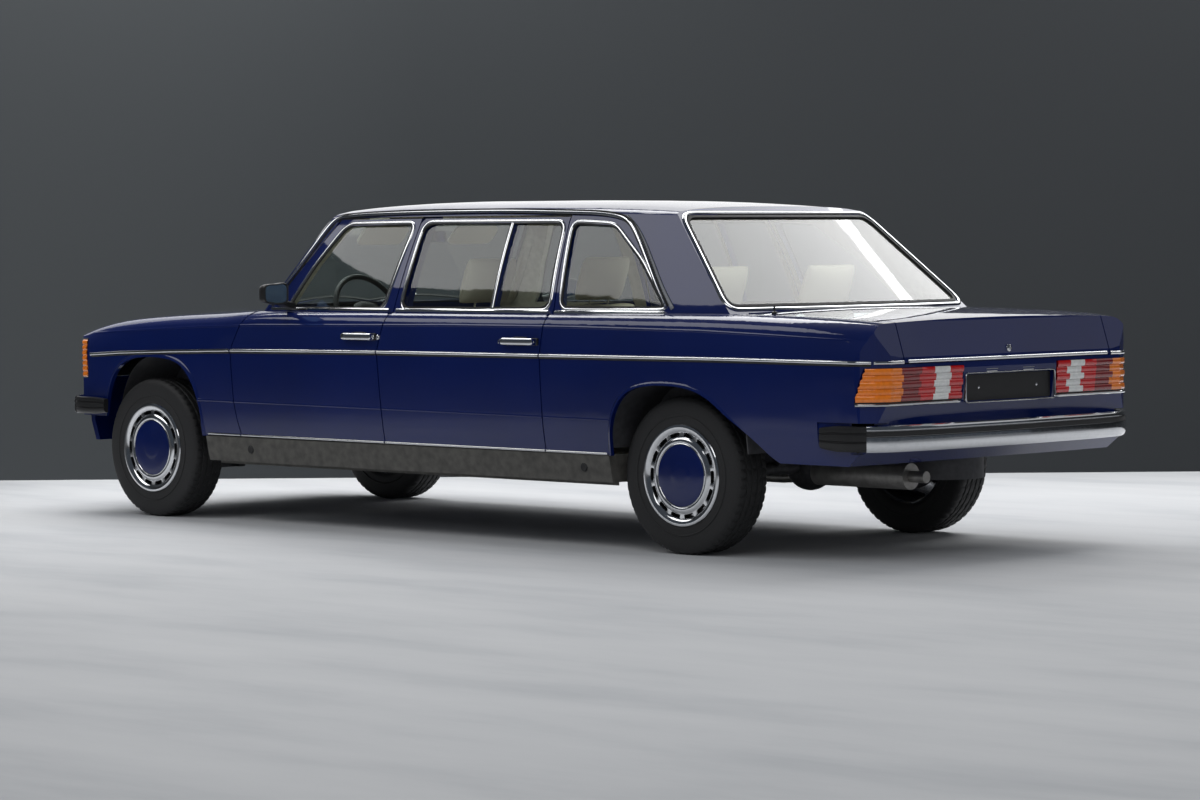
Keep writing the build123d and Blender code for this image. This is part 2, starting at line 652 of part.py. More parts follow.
front_house = wheelhouse(FRONT_ARCH[:-1], front_axle_x, 452, 446, 6)
inner_wing = block(firewall_x + 22 + seam, 2340 - seam, 432, 452, 470, 840)
ledge = house_room & block(1330, 2330, 452, 900, 790, 806)
save("inner_wings", *both(inner_wing + ledge + front_house))
save("rear_wheelhouses", *both(wheelhouse(REAR_ARCH[:-3], rear_axle_x, 432, 600 + seam, 6)))
front_half = 741 - seam
front_panel = front_wall & block(2300, 2600, -front_half, front_half, 345, LAMP_LOW - seam)
grille_room = block(2300, 2600, -grille_half - seam, grille_half + seam, grille_low - seam, LAMP_TOP)
front_panel = front_panel - grille_room - room_front + block(2340, 2362, -452, 452, 400, 780)
for s in (1, -1):
    front_panel = front_panel + block(2350, 2613.7, s * 380, s * 400, 485, 535)
save("front_panel", front_panel)
rear_half = boot_half + gap - seam
rear_wall = (lower - moved(lower, 30, 0)) & block(-2800, -2424, -rear_half, rear_half, 396, boot_lip_z - 3)
# Flat recess for the number plate
rear_wall = rear_wall - block(-2800, plate_face_x, -plate_half, plate_half, plate_low_z, plate_top_z)
tail_box = tail_room(seam)
rear_panel = rear_wall - tail_box - tail_box.mirror(Plane.XZ) - room_rear
for s in (1, -1):
    rear_panel = rear_panel + block(-2632.8, -2535, s * 385, s * 415, 478, 535)
save("rear_panel", rear_panel)

# ---------------------------------------------------------------- lamps, grille and bumpers
HEAD_LAMPS = ((628.0, 82.0), (428.0, 72.0))  # place across the car and radius of each reflector
lamp_mid_z = (LAMP_LOW + LAMP_TOP) / 2
bezel_x, bezel_depth, bezel_wide, bowl_depth = 2462.0, 14.0, 7.0, 20.0
head_lamp = front_wall & headlamp_box
for y, r in HEAD_LAMPS:
    at_lamp = Pos(bezel_x, y, lamp_mid_z) * Rot(0, 90, 0)
    head_lamp = head_lamp + at_lamp * Cylinder(r + bezel_wide, 2 * bezel_depth)
    head_lamp = head_lamp - at_lamp * Pos(0, 0, bezel_depth) * Cylinder(r, 2 * bowl_depth)
corner_lamp = (lower - moved(lower, -30, -30)) & corner_lamp_box
save("front_lamps", *both(head_lamp), *both(corner_lamp))


def grille_slab(back, drop, half, z0, z1):
    """Leaning slab behind the nose of the grille; drop is how far its face lies back from the nose."""
    faces = [(grille_nose_x - drop - grille_lean * (z - grille_low), z) for z in (z0, z1)]
    return side_prism([(back, z0), *faces, (back, z1)], -half, half)


shell_back_x, bar_drop = 2440.0, 22.0
mouth_half, mouth_low, mouth_top = grille_half - shell_side, grille_low + shell_foot, LAMP_TOP - shell_head
grille = (front_wall & grille_box) + grille_slab(shell_back_x, 0, grille_half - 12, grille_low + 2, LAMP_TOP - 2)
grille = grille - block(2300, 2600, -mouth_half, mouth_half, mouth_low, mouth_top)
grille = grille + grille_slab(shell_back_x, 8, 9, mouth_low - 1, mouth_top + 1)
for k in range(bar_count):
    z = mouth_low + (mouth_top - mouth_low) * (k + 0.5) / bar_count
    grille = grille + grille_slab(shell_back_x, bar_drop, mouth_half + 1, z - bar_thick / 2, z + bar_thick / 2)
save("grille", grille)
tail_lamp = (lower - moved(lower, 40, -30)) & tail_room(0)
save("tail_lamps", *both(tail_lamp))


save("front_bumper", bumper(1, *front_bumper_z))
save("rear_bumper", bumper(-1, *rear_bumper_z))

# ---------------------------------------------------------------- cabin
dash_front = firewall_x + 2 - seam
DASH = [(985, 690), (985, 880), (1020, 915), (1085, 935), (dash_front, 800), (dash_front, 620), (1080, 600)]
dash = side_prism(DASH, -690, 690)
wheel_tilt = 25.0
wheel_at = (860.0, 370.0, 965.0)
swheel_ring = Torus(190, 15)
spokes = Box(360, 30, 14) + Cylinder(62, 30)
column = Pos(0, 0, -104) * Cylinder(16, 184)
# The column runs forward and down from the wheel
at_wheel = Pos(*wheel_at) * Rot(0, wheel_tilt - 90, 0)
save("steering_wheel", at_wheel * (swheel_ring + spokes + column))
save("dashboard", dash - at_wheel * Pos(0, 0, -108) * Cylinder(16 + 0.5, 190))


def seat(y):
    base = block(330, 850, y - 255, y + 255, floor_z + seam, 520)
    back = side_prism([(352, 425), (232, 425), (30, 1000), (130, 1000)], y - 250, y + 250)
    rest = side_prism([(20, 1030), (110, 1030), (100, 1190), (30, 1190)], y - 140, y + 140)
    stalk = rod((75, y, 990), (72, y, 1040), 8)
    return base + back + rest + stalk


save("front_seats", *both(seat(370)))
bench = side_prism([(-640, 330.3), (-640, 500), (-1130, 470), (-1290, 935), (-1345, 935), (-1345, 480), (-1150, 332)], -620, 620)
rests = [side_prism([(-1340, 930), (-1270, 930), (-1285, 1190), (-1355, 1190)], y - 140, y + 140) for y in (350, -350)]
# The back of the bench passes between the wheelhouses
for s in (1, -1):
    bench = bench - block(-1400, -1165, s * 597, s * 700, 300, 1000)
save("rear_bench", bench + rests[0] + rests[1])

# ---------------------------------------------------------------- running gear
save("engine", block(1320, 2080, -210, 210, 330 + seam, 800))


spindle_r = 20.0


def wheel_pieces(x, y, sign):
    """Tyre and disc wheel, outer face on the sign side."""
    half = tyre_width / 2
    section = make_face(
        Polyline((rim_radius - 16, -half + 18), (rim_radius + 50, -half), (tyre_radius - 18, -half + 2),
                 (tyre_radius - 6, -half + 12), (tyre_radius, -half + 34), (tyre_radius, half - 34),
                 (tyre_radius - 6, half - 12), (tyre_radius - 18, half - 2), (rim_radius + 50, half),
                 (rim_radius - 16, half - 18), close=True)
    )
    tyre = revolve(Plane.XZ * section, Axis.Z, 360)
    barrel = Cylinder(rim_radius - 16 - seam, tyre_width - 34) - Cylinder(rim_radius - 32, 400)
    disc = Pos(0, 0, half - 30) * Cylinder(rim_radius - 30, 24) + Pos(0, 0, half - 15) * Cylinder(hub_cap_radius, 22)
    # Trim ring that laps the bead of the tyre
    disc = disc + Pos(0, 0, half - 9) * (Cylinder(rim_radius - 2, 7) - Cylinder(rim_radius - 56, 20))
    disc = disc + Pos(0, 0, half - 15) * (Cylinder(rim_radius - 32, 12) - Cylinder(rim_radius - 56, 20))
    hub = Pos(0, 0, 12) * Cylinder(45, 92)
    rim = barrel + disc + hub - Pos(0, 0, -26) * Cylinder(spindle_r + 0.5, 140)
    turn = Pos(x, y, hub_z) * Rot(-90 * sign, 0, 0)
    return turn * tyre, turn * rim


front_y, rear_y = track_front / 2, track_rear / 2
for end, x, y in (("front", front_axle_x, front_y), ("rear", rear_axle_x, rear_y)):
    for side, sign in (("left", 1), ("right", -1)):
        tyre, rim = wheel_pieces(x, sign * y, sign)
        save(f"tyre_{end}_{side}", tyre)
        save(f"rim_{end}_{side}", rim)

kingpin_y = 672.0
kingpin_r = 8.0
knuckle = rod_y(front_axle_x, hub_z, spindle_r, 660, front_y + 38) + rod_y(front_axle_x, hub_z, 60, 685, 698)
knuckle = knuckle + block(front_axle_x - 25, front_axle_x + 25, kingpin_y - 18, kingpin_y + 18, 245, 425)
for z in (255, 415):
    knuckle = knuckle - Pos(front_axle_x, kingpin_y, z) * Cylinder(kingpin_r + 0.5, 20.1)
sided("knuckle", knuckle)
half_frame = block(front_axle_x - 60, front_axle_x + 60, -1, 330, 262, 330)
half_frame = half_frame + block(front_axle_x - 50, front_axle_x + 50, 300, 340, 215, 520)
half_frame = half_frame + block(front_axle_x - 50, front_axle_x + 50, 330, 432 - seam, 475, 520)
half_frame = half_frame + block(front_axle_x - 30, front_axle_x + 30, 330, kingpin_y + 18, 215, 240)
half_frame = half_frame + block(front_axle_x - 20, front_axle_x + 20, 330, kingpin_y + 18, 430, 450)
for z in (250, 420):
    half_frame = half_frame + Pos(front_axle_x, kingpin_y, z) * Cylinder(kingpin_r, 24)
save("front_subframe", half_frame + half_frame.mirror(Plane.XZ))
axle = rod_y(rear_axle_x, hub_z, 28, -600, 600) + Pos(rear_axle_x, 0, hub_z) * Sphere(104)
for s in (1, -1):
    axle = axle + rod_y(rear_axle_x, hub_z, 20, s * 590, s * (rear_y + 38)) + rod_y(rear_axle_x, hub_z, 60, s * 570, s * 605)
for s in (1, -1):
    axle = axle + block(rear_axle_x - 40, rear_axle_x + 40, s * 200, s * 250, 340, 440 - seam)
save("rear_axle", axle)
pipe_path = [(1300, -260, 260), (-1150, -260, 250), (-1900, -300, 300)]
pipe = rod(pipe_path[0], pipe_path[1], 24) + Sphere(24).moved(Location(pipe_path[1])) + rod(pipe_path[1], pipe_path[2], 24)
muffler_y, muffler_z, muffler_r, outlet_r = 350.0, 334.0, 54.0, 24.0
muffler_front_x, muffler_rear_x, outlet_end_x = -1900.0, -2375.0, -2455.0
pipe = pipe + rod(pipe_path[2], (muffler_front_x, muffler_y, muffler_z), outlet_r) + Sphere(outlet_r).moved(Location(pipe_path[2]))
muffler = rod((muffler_front_x + 20, muffler_y, muffler_z), (muffler_rear_x, muffler_y, muffler_z), muffler_r)
hanger = block(-2140, -2110, muffler_y - 8, muffler_y + 8, muffler_z + muffler_r - 6, 440 - seam)
outlet = rod((muffler_rear_x + 5, muffler_y, muffler_z), (outlet_end_x, muffler_y, muffler_z), outlet_r)
save("exhaust", pipe + muffler + hanger + outlet)
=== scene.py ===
import json
from math import ceil, copysign, cos, pi, radians, sin, sqrt

import bmesh
import bpy
from mathutils import Matrix, Vector
from mathutils.bvhtree import BVHTree


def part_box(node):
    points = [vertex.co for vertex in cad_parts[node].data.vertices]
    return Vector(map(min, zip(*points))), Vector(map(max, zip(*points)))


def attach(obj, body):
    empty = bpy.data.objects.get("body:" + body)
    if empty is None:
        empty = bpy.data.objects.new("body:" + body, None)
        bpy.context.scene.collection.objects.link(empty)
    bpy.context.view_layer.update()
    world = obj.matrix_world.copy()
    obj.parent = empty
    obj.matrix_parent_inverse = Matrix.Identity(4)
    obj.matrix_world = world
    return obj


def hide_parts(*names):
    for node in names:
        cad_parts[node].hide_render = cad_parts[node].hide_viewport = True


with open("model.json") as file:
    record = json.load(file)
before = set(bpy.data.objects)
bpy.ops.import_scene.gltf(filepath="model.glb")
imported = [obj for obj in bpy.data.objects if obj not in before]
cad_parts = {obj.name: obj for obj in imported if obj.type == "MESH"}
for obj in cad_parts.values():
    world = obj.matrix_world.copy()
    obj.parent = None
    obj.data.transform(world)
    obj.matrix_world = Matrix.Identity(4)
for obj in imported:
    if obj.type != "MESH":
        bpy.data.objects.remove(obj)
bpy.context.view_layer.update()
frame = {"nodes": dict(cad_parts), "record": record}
nodes = frame["nodes"]
scene = bpy.context.scene
scene.view_settings.view_transform = "Standard"

# ------------------------------------------------------------------ camera
yaw, pitch, roll = map(radians, (-45.75, -2.51, -0.43))
look = Vector((cos(yaw) * cos(pitch), sin(yaw) * cos(pitch), sin(pitch)))
level_right = look.cross(Vector((0, 0, 1))).normalized()
level_up = level_right.cross(look)
cam_right = cos(roll) * level_right + sin(roll) * level_up
cam_up = -sin(roll) * level_right + cos(roll) * level_up
cam_data = bpy.data.cameras.new("camera")
cam = bpy.data.objects.new("camera", cam_data)
scene.collection.objects.link(cam)
cam.matrix_world = Matrix((cam_right, cam_up, -look)).transposed().to_4x4()
cam.matrix_world.translation = Vector((-11.870, 11.901, 1.307))
cam_data.sensor_width = 36
cam_data.lens = 110.5
scene.camera = cam

# ------------------------------------------------------------------ materials
SLOT_OF = {}
COAT_ROUGHNESS = 0.03
NAVY = (0.0012, 0.009, 0.085)


def feed(tree, node, inputs):
    """Sets a node's sockets: an output of another node is linked, anything else is a value."""
    for socket, value in inputs.items():
        if isinstance(value, bpy.types.NodeSocket):
            tree.links.new(value, node.inputs[socket])
        else:
            node.inputs[socket].default_value = value
    return node


def make(tree, kind, inputs=None, **settings):
    node = tree.nodes.new("ShaderNode" + kind)
    for key, value in settings.items():
        setattr(node, key, value)
    return feed(tree, node, inputs or {})


def maths(tree, operation, *values, clamp=False):
    return make(tree, "Math", dict(enumerate(values)), operation=operation, use_clamp=clamp).outputs[0]


def axes_of(tree, output="Object"):
    coord = make(tree, "TexCoord")
    return make(tree, "SeparateXYZ", {0: coord.outputs[output]}).outputs


def shader(name, slot=None, colour=None, alpha=1):
    mat = bpy.data.materials.new(name)
    mat.use_nodes = True
    if slot:
        SLOT_OF[mat] = slot
        mat.diffuse_color = (*colour, alpha)
    return mat, mat.node_tree, mat.node_tree.nodes["Principled BSDF"]


def noise(tree, scale, detail=2.0, stretch=None, rough=0.5):
    """Noise in object coordinates; stretch squeezes it along an axis."""
    out = make(tree, "TexCoord").outputs["Object"]
    if stretch:
        out = make(tree, "Mapping", {"Vector": out, "Scale": stretch}).outputs["Vector"]
    inputs = {"Vector": out, "Scale": scale, "Detail": detail, "Roughness": rough}
    return make(tree, "TexNoise", inputs).outputs["Fac"]


def ramp(tree, fac, stops):
    node = make(tree, "ValToRGB", {"Fac": fac})
    elements = node.color_ramp.elements
    while len(elements) < len(stops):
        elements.new(0.5)
    for element, (place, colour) in zip(elements, stops):
        element.position = place
        element.color = (*colour, 1)
    return node.outputs["Color"]


def blend(tree, fac, first, second, **settings):
    """Colour mix; sockets 6 and 7 are its two colours and output 2 its result."""
    return make(tree, "Mix", {"Factor": fac, 6: first, 7: second}, data_type="RGBA", **settings).outputs[2]


def bump(tree, bsdf, height, strength):
    node = make(tree, "Bump", {"Height": height, "Strength": strength, "Distance": 0.001})
    feed(tree, bsdf, {"Normal": node.outputs["Normal"]})


def shade(colour, k):
    return tuple(min(1.0, c * k) for c in colour)


def surface(name, slot, colour, rough, vary, grain, depth, metal=0.0, coat=0.0):
    """General surface: colour mottled by vary, grain in roughness and, by depth, in relief."""
    mat, tree, bsdf = shader(name, slot, colour)
    fac = noise(tree, grain, 3.0)
    limits = {"To Min": max(0.02, rough - 0.06), "To Max": rough + 0.06}
    feed(tree, bsdf, {
        "Base Color": ramp(tree, fac, [(0.3, shade(colour, 1 - vary)), (0.7, shade(colour, 1 + vary))]),
        "Roughness": make(tree, "MapRange", {"Value": fac, **limits}).outputs["Result"],
        "Metallic": metal, "Coat Weight": coat, "Coat Roughness": COAT_ROUGHNESS,
    })
    if depth:
        bump(tree, bsdf, fac, depth)
    return mat


def paint_base(tree):
    return ramp(tree, noise(tree, 1.6), [(0.3, shade(NAVY, 0.9)), (0.7, shade(NAVY, 1.12))])


def lacquer(tree, bsdf, base, coat):
    """Solid car paint under a clear coat, with the faint ripple of sprayed paint."""
    feed(tree, bsdf, {
        "Base Color": base, "Roughness": 0.5, "Specular IOR Level": 0.05,
        "Coat Weight": coat, "Coat Roughness": COAT_ROUGHNESS, "Coat IOR": 1.5,
    })
    bump(tree, bsdf, noise(tree, 190.0), 0.02)


def glass_material(name, slot, tint, shine):
    """Thin glass: a tinted see-through layer under a mirror layer that grows towards grazing."""
    mat, tree, bsdf = shader(name, slot, tint, 0.3)
    tree.nodes.remove(bsdf)
    tones = ramp(tree, noise(tree, 3.0), [(0.3, shade(tint, 0.97)), (0.7, tint)])
    clear = make(tree, "BsdfTransparent", {"Color": tones})
    gloss = make(tree, "BsdfGlossy", {"Roughness": 0.03})
    fresnel = make(tree, "Fresnel", {"IOR": 1.52})
    # The inner face of the pane only lets light through
    front = maths(tree, "SUBTRACT", 1.0, make(tree, "NewGeometry").outputs["Backfacing"])
    facing = maths(tree, "MULTIPLY", fresnel.outputs["Fac"], front)
    boost = maths(tree, "MULTIPLY", facing, shine, clamp=True)
    mix = make(tree, "MixShader", {"Fac": boost, 1: clear.outputs[0], 2: gloss.outputs[0]})
    feed(tree, tree.nodes["Material Output"], {"Surface": mix.outputs[0]})
    return mat


paint, paint_tree, paint_bsdf = shader("body_paint", "body_paint", NAVY)
lacquer(paint_tree, paint_bsdf, paint_base(paint_tree), 1.0)
# name, slot, colour, roughness, mottling of the colour, grain (more is finer), relief
chrome = surface("bright_trim", "bright_trim", (0.78, 0.79, 0.81), 0.1, 0.04, 60, 0.01, metal=1.0)
satin_steel = surface("wheel_metal", "wheel_metal", (0.66, 0.67, 0.69), 0.2, 0.05, 80, 0.02, metal=1.0)
rubber = surface("tyre", "tyre", (0.018, 0.018, 0.019), 0.62, 0.25, 140, 0.25)
black = surface("black_trim", "black_trim", (0.012, 0.012, 0.013), 0.42, 0.2, 220, 0.2)
seal = surface("window_seal", "black_trim", (0.008, 0.008, 0.009), 0.6, 0.2, 160, 0.1)
cabin_black = surface("cabin_black", "cabin_black", (0.022, 0.022, 0.024), 0.55, 0.2, 420, 0.35)
cloth = surface("seat_cloth", "seat_cloth", (0.56, 0.5, 0.385), 0.85, 0.08, 700, 0.5)
headliner = surface("headliner", "seat_cloth", (0.6, 0.56, 0.46), 0.9, 0.06, 500, 0.3)
carpet = surface("carpet", "cabin_black", (0.05, 0.055, 0.075), 0.95, 0.3, 600, 0.8)
cast = surface("cast_metal", "cast_metal", (0.09, 0.09, 0.095), 0.6, 0.25, 60, 0.5, metal=0.7)
steel = surface("exhaust_steel", "exhaust_steel", (0.3, 0.29, 0.275), 0.42, 0.25, 24, 0.3, metal=0.85)
sealed = surface("inner_metal", "inner_metal", (0.045, 0.045, 0.05), 0.6, 0.25, 40, 0.6)
sill_grey = surface("sill_sealer", "inner_metal", (0.085, 0.082, 0.075), 0.7, 0.28, 26, 0.7)
vent_grey = surface("vent_grey", "inner_metal", (0.2, 0.21, 0.23), 0.45, 0.1, 200, 0.1)
mirror_face = surface("mirror_glass", "bright_trim", (0.16, 0.25, 0.42), 0.05, 0.02, 30, 0.0, metal=1.0)
reflector = surface("lamp_reflector", "bright_trim", (0.82, 0.83, 0.85), 0.08, 0.02, 40, 0.0, metal=1.0)
amber = surface("lamp_amber", "lamp_red", (0.8, 0.2, 0.012), 0.16, 0.1, 60, 0.05, coat=1.0)
red = surface("lamp_red", "lamp_red", (0.5, 0.006, 0.008), 0.14, 0.12, 60, 0.05, coat=1.0)
dark_red = surface("lamp_dark_red", "lamp_red", (0.18, 0.004, 0.005), 0.14, 0.12, 60, 0.05, coat=1.0)
white_lens = surface("lamp_clear", "lamp_clear", (0.7, 0.71, 0.7), 0.14, 0.08, 60, 0.05, coat=1.0)
glass = glass_material("window_glass", "window_glass", (0.93, 0.965, 0.95), 1.5)
clear_glass = glass_material("lamp_glass", "lamp_clear", (0.93, 0.95, 0.95), 1.6)

CAD_MATERIALS = (
    paint, glass, black, rubber, satin_steel, chrome, cloth, cabin_black, cast, steel, sealed, white_lens,
    red,
)
SLOT_MATERIAL = {SLOT_OF[mat]: mat for mat in CAD_MATERIALS}
for part in frame["record"]["subparts"]:
    obj = nodes[part["node"]]
    obj.data.materials.clear()
    obj.data.materials.append(SLOT_MATERIAL[part["material_slot"]])

# ------------------------------------------------------------------ geometry helpers
SIDES = (("left", 1), ("right", -1))
UP, AHEAD, ASTERN = Vector((0, 0, 1)), Vector((1, 0, 0)), Vector((-1, 0, 0))
WELD = 0.00002


def mm(*v):
    return Vector(v) * 0.001


def band(n):
    """Faces between two loops of n vertices."""
    return [(k, (k + 1) % n, n + (k + 1) % n, n + k) for k in range(n)]


def grid(rows, cols, ring=False):
    """Faces of vertices kept row by row; ring joins the ends of each row."""
    return [
        (i * cols + j, i * cols + (j + 1) % cols, (i + 1) * cols + (j + 1) % cols, (i + 1) * cols + j)
        for i in range(rows - 1) for j in range(cols if ring else cols - 1)
    ]


def caps(rows, cols):
    return [tuple(range(cols))[::-1], tuple(range((rows - 1) * cols, rows * cols))]


class Mesh:
    """Gathers vertices (millimetres, row frame) and faces for one piece; each face has its material."""

    def __init__(self):
        self.verts, self.faces, self.tags, self.mats = [], [], [], []

    def add(self, verts, faces, mat, flip=False):
        base = len(self.verts)
        self.verts += [(v[0], v[1], v[2]) for v in verts]
        if mat not in self.mats:
            self.mats.append(mat)
        tag = self.mats.index(mat)
        for face in faces:
            ids = [base + i for i in face]
            self.faces.append(ids[::-1] if flip else ids)
            self.tags.append(tag)
        return self

    def both(self, verts, faces, mat):
        """The given left-hand form and its mirror image."""
        self.add(verts, faces, mat)
        return self.add([(x, -y, z) for x, y, z in verts], faces, mat, flip=True)

    def box(self, x0, x1, y0, y1, z0, z1, mat):
        return self.add(*box_mesh(x0, x1, y0, y1, z0, z1), mat)

    def run(self, path, normals, profile, mat, **options):
        """Sweeps a profile; a single normal stands for all."""
        if isinstance(normals, Vector):
            normals = [normals] * len(path)
        return self.add(*sweep(path, normals, profile, **options), mat)

    def turned(self, profile, count, mat, centre, out, **options):
        """Turns a profile about an axis through centre; out is the axis, along x, y or z."""
        verts, faces = lathe(profile, count, **options)
        x, y, z = centre
        if out[0]:
            placed = [(x + out[0] * t, y + a, z + u) for a, t, u in verts]
        elif out[1]:
            placed = [(x + a, y + out[1] * t, z + u) for a, t, u in verts]
        else:
            placed = [(x + a, y + u, z + t) for a, t, u in verts]
        return self.add(placed, faces, mat)

    def plate(self, near, far, mat, ends=""):
        """Two loops joined by a band; ends names the closed ones: near, far or both."""
        n = len(near)
        faces = [tuple(range(n))] if ends in ("near", "both") else []
        faces += [tuple(range(n, 2 * n))[::-1]] if ends in ("far", "both") else []
        return self.add([*near, *far], faces + band(n), mat)

    def done(self, name, body="body", angle=36, slot=None):
        mesh = bpy.data.meshes.new(name)
        mesh.from_pydata([mm(*v) for v in self.verts], [], self.faces)
        for mat in self.mats:
            mesh.materials.append(mat)
        mesh.polygons.foreach_set("material_index", self.tags)
        bm = bmesh.new()
        bm.from_mesh(mesh)
        bmesh.ops.remove_doubles(bm, verts=bm.verts, dist=WELD)
        bmesh.ops.recalc_face_normals(bm, faces=bm.faces)
        bm.to_mesh(mesh)
        bm.free()
        mesh.polygons.foreach_set("use_smooth", [True] * len(mesh.polygons))
        mesh.set_sharp_from_angle(angle=radians(angle))
        obj = bpy.data.objects.new(name, mesh)
        scene.collection.objects.link(obj)
        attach(obj, body)
        return obj


def tree_of(*names):
    """Ray target made of CAD nodes, in metres."""
    verts, polys = [], []
    for name in names:
        mesh = nodes[name].data
        base = len(verts)
        verts += [v.co.copy() for v in mesh.vertices]
        polys += [[base + i for i in p.vertices] for p in mesh.polygons]
    return BVHTree.FromPolygons(verts, polys)


def meet(tree, origin, direction):
    """Point and outward normal, in millimetres, where a ray meets the CAD surface."""
    place, normal, _, _ = tree.ray_cast(mm(*origin), Vector(direction).normalized())
    if place is None:
        return None
    return place * 1000, -normal if normal.dot(Vector(direction)) > 0 else normal


def flank(tree, x, z, sign):
    """Where a ray from well outside meets the side of the car."""
    return meet(tree, (x, sign * 1400, z), (0, -sign, 0))


def dropped(tree, points):
    """Where rays from above meet the surface at the given (x, y)."""
    hits = [meet(tree, (x, y, 1600), (0, 0, -1)) for x, y in points]
    return [hit[0] for hit in hits if hit]


def unit(vectors):
    return [v.normalized() for v in vectors]


def spread(first, last, count):
    """Even values from first to last in count steps."""
    return [first + (last - first) * k / count for k in range(count + 1)]


def spline(points, step):
    """Catmull-Rom through the points, cut to even steps."""
    pts = [Vector(p) for p in points]
    out = []
    for i in range(len(pts) - 1):
        a, b, c, d = pts[max(i - 1, 0)], pts[i], pts[i + 1], pts[min(i + 2, len(pts) - 1)]
        count = max(1, round((c - b).length / step))
        for t in spread(0, 1, count)[:-1]:
            square, cube = 2 * a - 5 * b + 4 * c - d, 3 * b - a - 3 * c + d
            out.append(0.5 * (2 * b + (c - a) * t + square * t * t + cube * t ** 3))
    return [*out, pts[-1]]


def cut_even(points, step, closed=False):
    pts = [Vector(p) for p in points]
    out = []
    for a, b in zip(pts, pts[1:] + ([pts[0]] if closed else [])):
        count = max(1, ceil((b - a).length / step))
        out += [a.lerp(b, k / count) for k in range(count)]
    return out if closed else [*out, pts[-1]]


def rounded(points, radius, closed=True, steps=6):
    """Polyline with eased corners."""
    pts = [Vector(p) for p in points]
    out = []
    for i, p in enumerate(pts):
        if not closed and i in (0, len(pts) - 1):
            out.append(p)
            continue
        before, after = pts[i - 1] - p, pts[(i + 1) % len(pts)] - p
        r = min(radius, before.length * 0.45, after.length * 0.45)
        a, b = p + before.normalized() * r, p + after.normalized() * r
        out += [(1 - t) ** 2 * a + 2 * t * (1 - t) * p + t * t * b for t in spread(0, 1, steps)]
    return out


def grown(points, by):
    """Closed 2-D outline moved outwards."""
    pts = [Vector(p) for p in points]
    turn = 1 if sum(a.x * b.y - b.x * a.y for a, b in zip(pts, pts[1:] + pts[:1])) > 0 else -1
    out = []
    for i, p in enumerate(pts):
        e1, e2 = (p - pts[i - 1]).normalized(), (pts[(i + 1) % len(pts)] - p).normalized()
        n1, n2 = Vector((e1.y, -e1.x)) * turn, Vector((e2.y, -e2.x)) * turn
        out.append(p + (n1 + n2) * (by / max(0.3, 1 + n1.dot(n2))))
    return out


def evened(vectors, closed=False, reach=2):
    """Running mean of each vector and its neighbours."""
    n = len(vectors)
    out = []
    for i in range(n):
        near = range(i - reach, i + reach + 1)
        ids = [k % n if closed else min(max(k, 0), n - 1) for k in near]
        out.append(sum((vectors[k] for k in ids), Vector((0, 0, 0))) / len(ids))
    return out


def sweep(path, normals, profile, closed=False, taper=0):
    """Profile of (across, out) points run along a path; taper draws in that many rings at open ends."""
    path = [Vector(p) for p in path]
    n, m = len(path), len(profile)
    verts = []
    for i in range(n):
        a = path[(i - 1) % n] if closed or i else path[0]
        b = path[(i + 1) % n] if closed or i < n - 1 else path[-1]
        t = (b - a).normalized()
        side = t.cross(normals[i]).normalized()
        out = side.cross(t)
        if out.dot(normals[i]) < 0:
            out = -out
        k = 1.0
        away = min(i, n - 1 - i)
        if away < taper:
            k = sqrt(max(0.02, 1 - (1 - away / taper) ** 2))
        verts += [path[i] + side * (p * k) + out * (q * k) for p, q in profile]
    if closed:
        return verts, [tuple(v % (n * m) for v in face) for face in grid(n + 1, m, ring=True)]
    return verts, grid(n, m, ring=True) + caps(n, m)


def lathe(profile, count, closed_profile=False, twist=None):
    """Profile of (radius, out) turned about an axis. Returns verts (along, out, up)."""
    m = len(profile)
    verts, faces = [], []
    for i in range(count):
        a = 2 * pi * i / count
        for j, (r, t) in enumerate(profile):
            rr = r + (twist(i, j) if twist else 0)
            verts.append((rr * cos(a), t, rr * sin(a)))
        k = (i + 1) % count
        for j in range(m if closed_profile else m - 1):
            jj = (j + 1) % m
            faces.append((i * m + j, k * m + j, k * m + jj, i * m + jj))
    return verts, faces


def box_mesh(x0, x1, y0, y1, z0, z1):
    xs, ys, zs = sorted((x0, x1)), sorted((y0, y1)), sorted((z0, z1))
    verts = [(x, y, z) for x in xs for y in ys for z in zs]
    return verts, [(0, 1, 3, 2), (4, 6, 7, 5), (0, 4, 5, 1), (2, 3, 7, 6), (0, 2, 6, 4), (1, 5, 7, 3)]


def rect(x0, x1, z0, z1):
    return [(x0, z0), (x1, z0), (x1, z1), (x0, z1)]


def crowned(width, height):
    """Section of a bright strip."""
    steps = ((0.5, -2), (0.5, height * 0.35), (0.35, height * 0.8), (0.15, height))
    return mirrored([(-width * share, out) for share, out in steps])


def mirrored(half):
    """Section given by its left half."""
    return half + [(-p, q) for p, q in reversed(half)]


def flat_bar(half, low, high):
    return mirrored([(-half, low), (-half, high)])


def rod(wide, count, tall=None):
    return [(wide * cos(2 * pi * k / count), (tall or wide) * sin(2 * pi * k / count)) for k in range(count)]


def squared(value, power):
    """Eases a sine or cosine towards a square corner."""
    return copysign(abs(value) ** power, value)


def side_path(tree, points, sign, lift=0.0, closed=False):
    """Path on the flank of the car through (x, z) points, with outward normals."""
    path, normals = [], []
    for x, z in points:
        hit = flank(tree, x, z, sign)
        if hit:
            path.append(hit[0] + hit[1] * lift)
            normals.append(hit[1])
    return path, unit(evened(normals, closed))


def on_side(sign, vectors):
    return vectors if sign > 0 else [Vector((v.x, -v.y, v.z)) for v in vectors]


# ------------------------------------------------------------------ side strips and creases
A_X, B_X, C_X, GAP = 1251.0, 245.0, -780.0, 3.0
